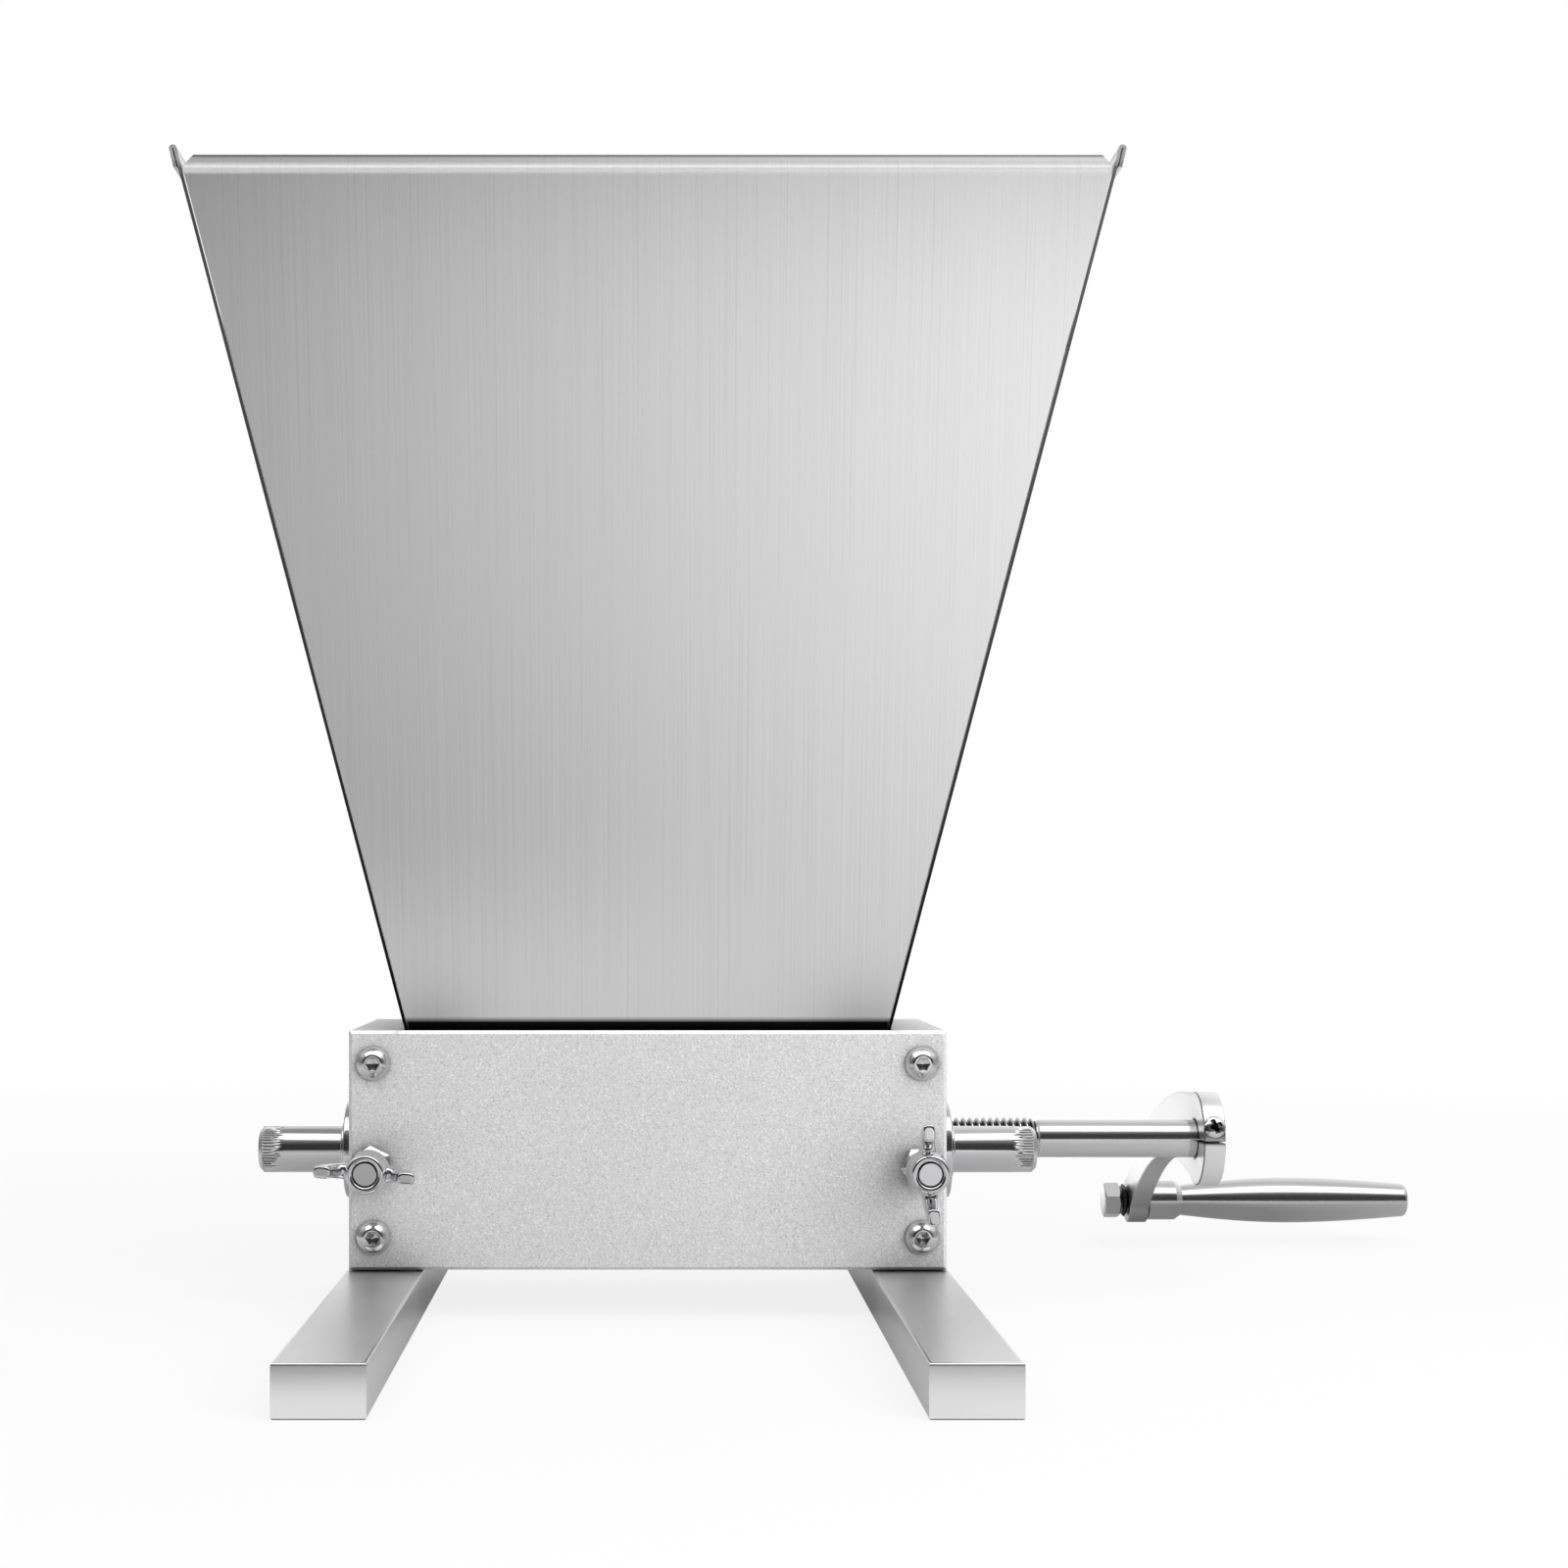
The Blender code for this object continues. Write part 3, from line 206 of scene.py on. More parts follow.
def skin(grid, wrap_rings=False):
    """Points and quads of a grid whose first axis counts rings and whose second runs along each.

    Quad (i, j) joins ring i to ring i + 1 between columns j and j + 1.
    """
    rings, columns, _ = grid.shape
    i = np.arange(rings if wrap_rings else rings - 1)[:, None]
    j = np.arange(columns - 1)[None, :]
    near, far = i * columns + j, (i + 1) % rings * columns + j
    faces = np.stack([near, near + 1, far + 1, far], axis=-1).reshape(-1, 4)
    return grid.reshape(-1, 3), faces


def finished(mesh, sharp, merge=False):
    """The mesh with its faces turned outwards and shaded smooth up to the sharp angle.

    Where asked, coinciding points merge first, so that seams and poles close.
    """
    bm = bmesh.new()
    bm.from_mesh(mesh)
    if merge:
        bmesh.ops.remove_doubles(bm, verts=bm.verts, dist=MERGE)
        bmesh.ops.dissolve_degenerate(bm, dist=MERGE, edges=bm.edges)
    bmesh.ops.recalc_face_normals(bm, faces=bm.faces)
    bm.to_mesh(mesh)
    bm.free()
    mesh.shade_smooth()
    mesh.set_sharp_from_angle(angle=sharp)
    return mesh


def mesh_of(name, *skins, sharp=SHARP):
    """One closed mesh of several skins."""
    starts = np.cumsum([0, *[len(points) for points, _ in skins]])
    points = np.concatenate([points for points, _ in skins])
    faces = []
    for (_, part), start in zip(skins, starts):
        faces += (np.asarray(part) + start).tolist()
    mesh = bpy.data.meshes.new(name)
    mesh.from_pydata(points.tolist(), [], faces)
    return finished(mesh, sharp, merge=True)


def around(steps=ROUND):
    """Angles of a full turn, first and last alike."""
    return np.linspace(0, FULL_TURN, steps + 1)


def rings(profile, angle, shift=(0, 0)):
    """Rings of a round piece: each (radius, height), as a number or an array over the angle.

    A point lies at (radius cos angle, radius sin angle, height), moved sideways by the shift.
    """
    count = len(angle)
    radius = np.stack([np.broadcast_to(r, count) for r, _ in profile])
    height = np.stack([np.broadcast_to(z, count) for _, z in profile])
    x = radius * np.cos(angle) + shift[0]
    y = radius * np.sin(angle) + shift[1]
    return np.stack([x, y, height], axis=-1)


def softened(path, radius, steps=CORNER):
    """A path with each inner corner replaced by a curve.

    The curve (1-t)^2 a + 2 t (1-t) corner + t^2 b runs from a, the radius before the corner, to b,
    the radius after it, or to the middles of the two sides where these are shorter.
    """
    path = np.asarray(path, float)
    before, corner, after = path[:-2], path[1:-1], path[2:]
    radius = np.broadcast_to(radius, len(corner))[:, None]

    def towards(other):
        run = other - corner
        length = np.linalg.norm(run, axis=1, keepdims=True)
        return corner + run * np.minimum(radius / length, 0.5)

    a, b = towards(before)[:, None], towards(after)[:, None]
    t = np.linspace(0, 1, steps)[None, :, None]
    curve = (1 - t) ** 2 * a + 2 * t * (1 - t) * corner[:, None] + t**2 * b
    return np.concatenate([path[:1], curve.reshape(-1, path.shape[1]), path[-1:]])


def hexagon(across, angle):
    """Distance from the middle of a hexagon to its side, with a corner at angle 0.

    It is the half width across flats over the cosine of the angle from the nearest flat's middle.
    """
    sixth = math.pi / 3
    return across / 2 / np.cos(np.mod(angle, sixth) - sixth / 2)


def thread(root, crest, pitch, low, high, angle, rows=8):
    """Rings that follow a thread from low to high, as (radius, height) arrays over the angle.

    Ring k has the height low + pitch (k / rows + angle / full turn), held between low and high.
    The radius there depends on the share of a pitch that is passed: it climbs from root to crest
    and back in straight flanks with flats at both, and is held under a slope at either end.
    """
    flat, slant = 0.2, 0.65
    share = angle / FULL_TURN
    count = math.ceil((high - low) / pitch + 1) * rows
    ring = np.arange(-rows, count + 1)[:, None]
    height = np.clip(low + pitch * (ring / rows + share), low, high)
    phase = np.mod((height - low) / pitch - share, 1)
    flank = np.clip((np.abs(2 * phase - 1) - flat) / slant, 0, 1)
    slope = root + np.minimum(height - low, high - height)
    radius = np.minimum(root + (crest - root) * flank, slope)
    return list(zip(radius, height))


def dome(rim, height, crown, steps=10):
    """Profile of a ball-shaped head from its flat crown down to its rim at height 0."""
    centre = (crown**2 + height**2 - rim**2) / (2 * height)
    radius = math.hypot(rim, centre)
    start = math.atan2(height - centre, crown)
    end = math.atan2(-centre, rim)
    angle = np.linspace(start, end, steps)
    return list(zip(radius * np.cos(angle), centre + radius * np.sin(angle)))


def placed(grid, direction, place):
    """A grid laid over by a direction and carried to its place."""
    return grid @ np.asarray(direction, float).T + np.asarray(place, float)


def turned(name, profile, angle, direction, place, closed=False, sharp=SHARP):
    """The mesh of a profile turned round its axis; a closed one runs back to its start."""
    grid = placed(rings(profile, angle), direction, place)
    return mesh_of(name, skin(grid, closed), sharp=sharp)


def turn_z(angle):
    """A direction turned round Z."""
    c, s = math.cos(angle), math.sin(angle)
    return np.array([[c, -s, 0], [s, c, 0], [0, 0, 1]])


def turn_x(angle):
    """A direction turned round X."""
    c, s = math.cos(angle), math.sin(angle)
    return np.array([[1, 0, 0], [0, c, -s], [0, s, c]])


def numbers_of(items, field):
    """A field of three numbers, read from all points or faces at once."""
    flat = np.zeros(len(items) * 3)
    items.foreach_get(field, flat)
    return flat.reshape(-1, 3)


def mark(mesh, name, domain, share):
    """Stores a share on every point or face, which the finishes read by its name."""
    layer = mesh.attributes.new(name, "FLOAT", domain)
    share = np.broadcast_to(share, len(layer.data))
    layer.data.foreach_set("value", share.astype(np.float32))


def mark_painted_shade(mesh, share):
    """Marks how much painted shade every point takes: 0 on open surfaces, 1 in a groove."""
    mark(mesh, "groove", "POINT", share)


def bare_or_lit_faces(mesh, axis, low, high):
    """Marks the faces whose normal's part along the axis lies between two values: bare metal on the
    covers' chamfers, and faces painted lighter on the feet's front ends.
    """
    part = numbers_of(mesh.polygons, "normal")[:, axis]
    mark(mesh, "bare", "FACE", (part > low) & (part < high))


def depth_share(mesh, axis, root, crest, low, high):
    """How deep each point lies between crest and root of a piece turned along X.

    It is (crest - r) / (crest - root), held between 0 and 1, where r is the distance from the axis,
    and 0 outside the length from low to high.
    """
    x, y, z = numbers_of(mesh.vertices, "co").T
    share = (crest - np.hypot(y - axis[0], z - axis[1])) / (crest - root)
    return np.clip(share, 0, 1) * (x > low) * (x < high)


def fused(mesh, voxel, rounds):
    """The mesh with its overlapping skins made one on a grid of voxels and smoothed to fillets."""
    item = bpy.data.objects.new(mesh.name, mesh)
    bpy.context.scene.collection.objects.link(item)
    join = item.modifiers.new("fuse", "REMESH")
    join.mode = "VOXEL"
    join.voxel_size = voxel
    fillet = item.modifiers.new("fillet", "SMOOTH")
    fillet.factor = 0.5
    fillet.iterations = rounds
    depsgraph = bpy.context.evaluated_depsgraph_get()
    made = bpy.data.meshes.new_from_object(item.evaluated_get(depsgraph))
    bpy.data.objects.remove(item)
    made.shade_smooth()
    return made


# Shader nodes


class Wire:
    """A socket of a node tree. Arithmetic on it adds Math nodes, node() adds any other node."""

    def __init__(self, tree, socket=None):
        self.tree = tree
        self.socket = socket

    def node(self, kind, inputs=None, output=0, stops=(), **settings):
        """Adds a node, with its settings or ramp stops first, then its sockets' values or links."""
        made = self.tree.nodes.new(kind)
        for name, value in settings.items():
            setattr(made, name, value)
        if stops:
            elements = made.color_ramp.elements
            while len(elements) < len(stops):
                elements.new(1)
            for element, (place, value) in zip(elements, stops):
                element.position = place
                element.color = (value, value, value, 1)
        for name, value in (inputs or {}).items():
            if isinstance(value, Wire):
                self.tree.links.new(value.socket, made.inputs[name])
            else:
                made.inputs[name].default_value = value
        return Wire(self.tree, made.outputs[output] if len(made.outputs) else None)

    def maths(self, operation, *values):
        return self.node("ShaderNodeMath", dict(enumerate(values)), operation=operation)

    def __add__(self, other):
        return self.maths("ADD", self, other)

    __radd__ = __add__

    def __sub__(self, other):
        return self.maths("SUBTRACT", self, other)

    def __rsub__(self, other):
        return self.maths("SUBTRACT", other, self)

    def __mul__(self, other):
        return self.maths("MULTIPLY", self, other)

    __rmul__ = __mul__

    def __truediv__(self, other):
        return self.maths("DIVIDE", self, other)

    def __abs__(self):
        return self.maths("ABSOLUTE", self)

    def clamped(self, low, high):
        """0 at low, 1 at high, straight between them and held outside."""
        inputs = {"Value": self, "From Min": low, "From Max": high}
        return self.node("ShaderNodeMapRange", inputs, clamp=True)

    def part(self, axis):
        """One part of a vector: X, Y or Z."""
        return self.node("ShaderNodeSeparateXYZ", {"Vector": self}, axis)

    def noise(self, scale, detail=2.0, roughness=0.5):
        """Noise between 0 and 1 over this vector, with its scale in cells per metre.

        A scale of three numbers draws the pattern out.
        """
        where = self
        if not isinstance(scale, (int, float)):
            where = self.node("ShaderNodeMapping", {"Vector": self, "Scale": scale})
            scale = 1.0
        inputs = {"Vector": where, "Scale": scale, "Detail": detail, "Roughness": roughness}
        return self.node("ShaderNodeTexNoise", inputs, noise_dimensions="3D")


def cleared(owner):
    """The emptied node tree of a material or a world."""
    owner.use_nodes = True
    owner.node_tree.nodes.clear()
    return Wire(owner.node_tree)


def place_in(base, space="Object"):
    """The shaded point in a space: the piece's own, its map (UV) or the sky (Generated)."""
    return base.node("ShaderNodeTexCoord", output=space)


def ray(base, kind):
    """1 for rays of a kind, such as Camera or Glossy, and 0 for others."""
    return base.node("ShaderNodeLightPath", output=f"Is {kind} Ray")


def grey(value):
    """The three parts of a neutral colour."""
    return (value, value, value)


def scaled(colour, share):
    """A colour made darker or lighter, with no part above 1."""
    return tuple(min(1.0, part * share) for part in colour)


def mixed(base, share, dark, light):
    """A colour between two others, each a wire or its three parts.

    The sockets are the factor and the two colours of a Mix node.
    """
    dark, light = (tone if isinstance(tone, Wire) else (*tone, 1) for tone in (dark, light))
    return base.node("ShaderNodeMix", {0: share, 6: dark, 7: light}, 2, data_type="RGBA")


def marked(base, name):
    """The share that a piece stores under a name; 0 on pieces without it."""
    return base.node("ShaderNodeAttribute", output="Fac", attribute_name=name)


def distance(base, where, point):
    """How far the shaded point is from a fixed one."""
    inputs = {0: where, 1: point}
    return base.node("ShaderNodeVectorMath", inputs, "Value", operation="DISTANCE")


def bump(base, height, distance, strength):
    """A normal tilted by a height between 0 and 1, whose full rise is the distance in metres."""
    inputs = {"Height": height, "Distance": distance, "Strength": strength}
    return base.node("ShaderNodeBump", inputs)


def painted_corner_shade(base, tone, reach, depth):
    """A colour with painted shade in corners: darkened by up to the depth where other surfaces are
    within reach.
    """
    exposed = base.node("ShaderNodeAmbientOcclusion", {"Distance": reach}, "AO", samples=4)
    return mixed(base, (1 - exposed) * depth, tone, grey(0))


def painted_recess_shade(base, tone):
    """A colour that turns to near-black painted shade where the piece's groove value says so."""
    return mixed(base, marked(base, "groove"), tone, grey(0.02))


# Finishes: each returns the inputs of its metal shader


def blasted_aluminium(base):
    """Bead-blasted aluminium: dark pits and bright grains of half a millimetre, bare chamfers, and
    painted shade in corners.
    """
    colour = bpy.context.scene.mill_colours.blasted
    where = place_in(base)
    grain = where.noise(1700, roughness=0.6)
    specks = where.noise(2700, detail=1.0)
    cloud = where.noise(45)
    pits = specks.clamped(0.32, 0.39)
    sparks = specks.clamped(0.62, 0.67)
    share = (0.32 + 0.24 * grain + 0.08 * cloud + 0.36 * sparks) * (0.25 + 0.75 * pits)
    bare = marked(base, "bare")
    tone = mixed(base, share, scaled(colour, 0.52), scaled(colour, 1.35))
    # Painted shade: the colour darkens in corners where other surfaces are near.
    tone = painted_corner_shade(base, tone, reach=0.012, depth=0.75)
    return {
        "Base Color": mixed(base, bare, tone, grey(0.97)),
        "Metallic": 0.35 + 0.65 * bare,
        "Roughness": (0.40 + 0.16 * cloud) * (1 - bare) + 0.16 * bare,
        "Normal": bump(base, grain * (1 - bare), distance=0.0002, strength=0.7),
    }


def satin_bar(base):
    """Drawn aluminium bar: faint lines along its length, a soft haze, painted shade in corners and
    recesses, and front ends painted lighter.
    """
    colour = bpy.context.scene.mill_colours.bar
    where = place_in(base)
    lines = where.noise((2200, 14, 2200))
    haze = where.noise(60)
    share = 0.6 * lines + 0.4 * haze
    tone = mixed(base, share, scaled(colour, 0.90), scaled(colour, 1.08))
    # Painted light: the marked front ends of the feet take a near-white tone.
    painted_lit_end = mixed(base, share, grey(0.93), grey(1.0))
    # Painted shade in corners over the bar's tone, and painted light on the marked front ends.
    tone = mixed(base, marked(base, "bare"), painted_corner_shade(base, tone, reach=0.022, depth=0.7), painted_lit_end)
    return {
        # Painted shade in recesses, from the groove mark.
        "Base Color": painted_recess_shade(base, tone),
        "Roughness": 0.24 + 0.14 * share,
        "Normal": bump(base, lines, distance=0.00002, strength=0.3),
    }


def brushed_sheet(base):
    """Brushed sheet: long fine scratches up the wall, read from the wall's own map in metres.

    The cut edges carry painted shade, and a painted black shadow runs along the foot, where the wall
    enters the body. The fold under the rim is rubbed matt and pale under a little painted shade,
    with a painted dark line of shade and a painted white highlight strip above.
    """
    colour = bpy.context.scene.mill_colours.sheet
    chart = place_in(base, "UV")
    height = place_in(base).part("Z")

    def climb(level, start, end):
        return height.clamped(level + start, level + end)

    fine = chart.noise((3000, 8, 1), detail=3.0, roughness=0.6)
    broad = chart.noise((260, 1.2, 1), detail=1.0)
    scores = chart.noise((3600, 7, 1), detail=1.0).clamped(0.62, 0.72)
    share = 0.75 * fine + 0.15 * broad + 0.05 - 0.35 * scores
    # Painted shade on the cut edges, which the map marks.
    edge = chart.part("X").clamped(5, 6)
    hem_end = climb(BEND_HEIGHT, 0.0005, 0.0015)
    # Painted shadow: a black band along the foot, where the wall enters the body.
    unshaded_wall = climb(BODY_TOP, 0.0021, 0.0036) * (1 - edge * (1 - hem_end))
    # The fold is rougher here; its colour also takes a little painted shade below.
    matt = climb(FOLD_HEIGHT, -0.0016, -0.0008) * (1 - climb(FOLD_HEIGHT, 0.0010, 0.0025))
    pale = climb(FOLD_HEIGHT, -0.0017, -0.0011) * (1 - climb(FOLD_HEIGHT, -0.0006, 0))
    # Painted highlight on the rim's top strip, with a painted dark line of shade just under it.
    top = climb(RIM_HEIGHT, -0.0007, -0.0004)
    line = climb(RIM_HEIGHT, -0.0020, -0.0011) * (1 - top) * (1 - edge)
    strip = top * (1 - edge)
    # The tone of the painted shade: near black at the foot, grey towards the fold.
    painted_shadow = mixed(base, height.clamped(BODY_TOP, BEND_HEIGHT), grey(0.004), grey(0.12))
    tone = mixed(base, share, scaled(colour, 0.86), scaled(colour, 1.12))
    # Painted highlight: the rim's top strip turns near white and loses most of its metal sheen.
    tone = mixed(base, strip, tone, mixed(base, fine, grey(0.96), grey(1.0)))
    # Painted shade: the wall's colour turns to the shadow tone at the foot and edges, a little on
    # the matt fold, and strongly on the line under the rim's top.
    unshaded_share = unshaded_wall * (1 - 0.15 * matt) * (1 - 0.85 * line)
    return {
        "Base Color": mixed(base, unshaded_share, painted_shadow, tone),
        "Roughness": 0.20 + 0.06 * fine + 0.30 * matt + 0.4 * edge * hem_end,
        "Metallic": 1 - 0.6 * pale - 0.9 * strip,
        "Normal": bump(base, fine, distance=0.00003, strength=0.25),
    }


def polished_steel(base):
    """Polished steel: hair-fine turning marks, a few faint smears, and painted shade in its grooves.
    """
    colour = bpy.context.scene.mill_colours.steel
    where = place_in(base)
    marks = where.noise(900)
    smear = where.noise(70)
    tone = mixed(base, smear, scaled(colour, 0.94), scaled(colour, 1.05))
    return {
        # Painted shade in grooves and recesses, from the groove mark.
        "Base Color": painted_recess_shade(base, tone),
        "Roughness": 0.07 + 0.05 * smear + 0.03 * marks,
    }


def soft_steel(base):
    """Polished steel worn softer: broader highlights and fine marks along the piece."""
    marks = place_in(base).noise((60, 1400, 1400))
    return polished_steel(base) | {"Roughness": 0.13 + 0.06 * marks}


def hardened_steel(base):
    """Hardened steel: darker, with a cloudy blue-grey skin."""
    where = place_in(base)
    cloud = where.noise(160, detail=3.0)
    return {
        "Base Color": mixed(base, cloud, (0.30, 0.30, 0.32), (0.48, 0.48, 0.50)),
        "Roughness": 0.30 + 0.14 * where.noise(1800),
    }


def bearing_bronze(base):
    """Sintered bronze: fine pores and a warm brown cast."""
    where = place_in(base)
    pores = where.noise(3000)
    share = 0.6 * where.noise(120) + 0.4 * pores
    return {
        "Base Color": mixed(base, share, (0.48, 0.31, 0.15), (0.68, 0.48, 0.27)),
        "Roughness": 0.34 + 0.14 * pores,
        "Normal": bump(base, pores, distance=0.00005, strength=0.3),
    }


def blackened_steel(base):
    """Oil-blackened steel with a little cloudy tone."""
    cloud = place_in(base).noise(400, detail=3.0)
    return {
        "Base Color": mixed(base, cloud, grey(0.02), grey(0.09)),
        "Roughness": 0.30 + 0.15 * cloud,
    }


FINISHES = {
    make.__name__: make
    for make in (
        blasted_aluminium,
        satin_bar,
        brushed_sheet,
        polished_steel,
        soft_steel,
        hardened_steel,
        bearing_bronze,
        blackened_steel,
    )
}


def finish(slot):
    """The material of a finish, made when it is first asked for."""
    name = "mill_" + slot
    material = bpy.data.materials.get(name)
    if not material:
        material = bpy.data.materials.new(name)
        base = cleared(material)
        inputs = {"Metallic": 1.0, **FINISHES[slot](base)}
        surface = base.node("ShaderNodeBsdfPrincipled", inputs)
        base.node("ShaderNodeOutputMaterial", {"Surface": surface})
    return material


def stand_in(name, mesh, slot, node, look=None):
    """Puts a new piece into the scene in place of a node, riding on its body.

    Its material is the slot's finish, or another look of it.
    """
    item = bpy.data.objects.new(name, mesh)
    bpy.context.scene.collection.objects.link(item)
    mesh.materials.append(finish(look or slot))
    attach(item, frame["nodes"][node]["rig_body"])
    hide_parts(node)


def refinish(slot, *nodes):
    """Gives nodes that keep their shape the material of a finish."""
    for node in nodes:
        for place in frame["nodes"][node].material_slots:
            place.material = finish(slot)


# Screws


def cover_screws(face):
    """The nodes of a cover's four screws, with the end of each one's name."""
    ends = [f"{face}_{side}_{level}" for side, _ in SIDES for level in ("top", "bottom")]
    return [(f"cover_screw_{end}", end) for end in ends]


def socket_profile(across, depth, top, angle):
    """A hexagon socket from the point of its drill up to its mouth."""
    side = hexagon(across, angle)
    bottom = top - depth
    return [
        (0, bottom - across * 0.22),
        (side * 0.86, bottom),
        (side, bottom + across * 0.02),
        (side, top - across * 0.05),
        (side + across * 0.05, top),
    ]


def button_profile(angle):
    """A button head with a hexagon socket; its underside lies at height 0, its shank below."""
    rim, height, crown, shank, length = 0.0045, 0.0027, 0.0023, 0.0025, 0.0117
    band, edge, chamfer = 0.00015, 0.00008, 0.0004
    profile = socket_profile(across=0.003, depth=0.0018, top=height, angle=angle)
    profile += [(crown - 0.0002, height)]
    profile += [(r, z + band) for r, z in dome(rim, height - band, crown)]
    profile += [(rim, edge), (rim - edge, 0), (shank, 0)]
    return profile + [(shank, chamfer - length), (shank - chamfer, -length), (0, -length)]


class MILL_OT_cover_screws(bpy.types.Operator):
    """Makes the eight button-head screws of the two covers"""

    bl_idname = "mill.cover_screws"
    bl_label = "Cover screws"

    def execute(self, context):
        angle = around(SMALL_ROUND)
        for face, way, direction in FACES:
            for node, end in cover_screws(face):
                place = middle(node)
                place[1] = way * (HALF_DEPTH + GAP)
                mesh = turned(node, button_profile(angle), angle, direction, place)
                stand_in(f"button_{end}", mesh, "polished_steel", node)
        return {"FINISHED"}


# Wing screws


WING_TILTS = {"left": math.radians(-4.4), "right": math.radians(93.2)}
NUT_TURNS = {"left": math.radians(94), "right": math.radians(4)}
JAM_NUT_ACROSS = 0.010
WING_VOXEL = 0.00018
WING_SMOOTHING = 8


def stud_profile(length, pitch, angle):
    """A lock stud, its inner end at height 0: threaded up to a short plain end with a flat face."""
    root, crest, plain, chamfer = 0.0024, 0.0030, 0.0012, 0.00015
    start, end = length - plain, crest - 0.00005
    return [
        (0, 0),
        *thread(root, crest, pitch, 0, start, angle),
        (end, start + 0.0003),
        (end, length - chamfer),
        (end - chamfer, length),
        (0, length),
    ]


def nut_profile(across, low, high, angle, crown=0, cut=0.05):
    """A hexagon nut with turned corners: round its bore and outside in one closed loop.

    The corners are cut by a cone: the side's end lies lower by its distance beyond the flat, times
    the tangent of 30 degrees. The outer face falls by the crown from the bore to its rim.
    """
    side = hexagon(across, angle)
    flat = across / 2
    drop = (side - flat) * CHAMFER_SLOPE
    mouth = PIN_BORE + (high - low) * 0.08
    rim = high - crown
    return [
        (PIN_BORE, low + (mouth - PIN_BORE)),
        (mouth, low),
        (flat * 0.97, low),
        (side, low + drop + flat * 0.03),
        (side, rim - drop - flat * cut),
        (flat * (1 - cut), rim),
        (mouth, high),
        (PIN_BORE, high - (mouth - PIN_BORE)),
    ]


def hub_profile():
    """The wing head's hub: a rounded collar at the front, tapering wider to the back."""
    front = [(PIN_BORE, 0.0004), (PIN_BORE, 0.0094), (0.0033, 0.0100), (0.0042, 0.0103)]
    collar = [(0.0049, 0.0099), (0.0051, 0.0086), (0.0054, 0.0030)]
    back = [(0.0056, 0.0008), (0.0050, 0.0), (0.0036, 0.0)]
    return softened(front + collar + back, 0.0008)


def wing_grid(way):
    """One wing: rounded cross-sections carried along a curve from the hub out to the flat tip.

    The middle line is a cubic curve in the wing's plane. Each cross-section is the set of points
    (w |cos a|^p, t |sin a|^p) with their signs, across that line. Over the last stations both half
    sizes shrink by a quarter circle of the tip's rounding, and the last ring closes in a point.
    """
    stations, steps, rounding, power = 36, 40, 0.0005, 0.6
    knots = np.array([[0.0034, 0.0042], [0.0082, 0.0046], [0.0106, 0.0078], [0.0106, 0.0120]])
    share = np.linspace(0, 1, stations)
    s = share[:, None]
    line = (
        (1 - s) ** 3 * knots[0]
        + 3 * s * (1 - s) ** 2 * knots[1]
        + 3 * s**2 * (1 - s) * knots[2]
        + s**3 * knots[3]
    )
    run = np.gradient(line, axis=0)
    run /= np.linalg.norm(run, axis=1, keepdims=True)
    wide = np.interp(share, [0, 0.35, 0.75, 1], [0.0030, 0.0021, 0.0022, 0.0022])
    thick = np.interp(share, [0, 0.3, 0.7, 1], [0.0024, 0.0019, 0.0017, 0.0016])
    turn = np.linspace(0, QUARTER_TURN, 6)[1:]
    tip = line[-1] + run[-1] * (rounding * np.sin(turn))[:, None]
    line = np.concatenate([line, tip, tip[-1:]])
    run = np.concatenate([run, np.broadcast_to(run[-1], (len(turn) + 1, 2))])
    shrink = np.append(rounding * (1 - np.cos(turn)), np.inf)
    wide = np.maximum(np.append(wide, wide[-1] - shrink), 0)
    thick = np.maximum(np.append(thick, thick[-1] - shrink), 0)
    across = np.stack([-run[:, 1], run[:, 0]], axis=1)
    cos, sin = np.cos(around(steps)), np.sin(around(steps))
    u = np.sign(cos) * np.abs(cos) ** power
    v = np.sign(sin) * np.abs(sin) ** power
    flat = line[:, None] + across[:, None] * (wide[:, None] * u)[..., None]
    return np.stack([flat[..., 0] * way, thick[:, None] * v, flat[..., 1]], axis=-1)


def inner_end(node, axis_node):
    """The place of a piece's inner end on the axis of a node, and the piece's length."""
    low, high = corners(node)
    place = middle(axis_node)
    place[1] = high[1]
    return place, high[1] - low[1]


class MILL_OT_lock_screws(bpy.types.Operator):
    """Makes the two lock screws: threaded studs, jam nuts and wing heads"""

    bl_idname = "mill.lock_screws"
    bl_label = "Lock screws"

    def execute(self, context):
        pitch = context.scene.mill_sizes.stud_pitch
        angle = around(SMALL_ROUND)
        for side, _ in SIDES:
            stud, wing, jam = f"{side}_lock_stud", f"{side}_wing", f"{side}_lock_nut"
            place, length = inner_end(stud, stud)
            mesh = turned(stud, stud_profile(length, pitch, angle), angle, TO_FRONT, place)
            stand_in(f"{side}_stud", mesh, "polished_steel", stud)

            place, length = inner_end(jam, jam)
            profile = nut_profile(JAM_NUT_ACROSS, 0, length, angle, crown=0.0005, cut=0.1)
            direction = TO_FRONT @ turn_z(NUT_TURNS[side])
            mesh = turned(jam, profile, angle, direction, place, closed=True, sharp=SHARP_FLATS)
            stand_in(f"{side}_jam_nut", mesh, "polished_steel", jam)

            place, _ = inner_end(wing, stud)
            direction = TO_FRONT @ turn_z(WING_TILTS[side])
            hub = skin(placed(rings(hub_profile(), angle), direction, place), wrap_rings=True)
            wings = [skin(placed(wing_grid(way), direction, place)) for way in (-1, 1)]
            mesh = fused(mesh_of(wing, hub, *wings), WING_VOXEL, WING_SMOOTHING)
            stand_in(f"{side}_wing_head", mesh, "polished_steel", wing)
        return {"FINISHED"}


# Adjusters


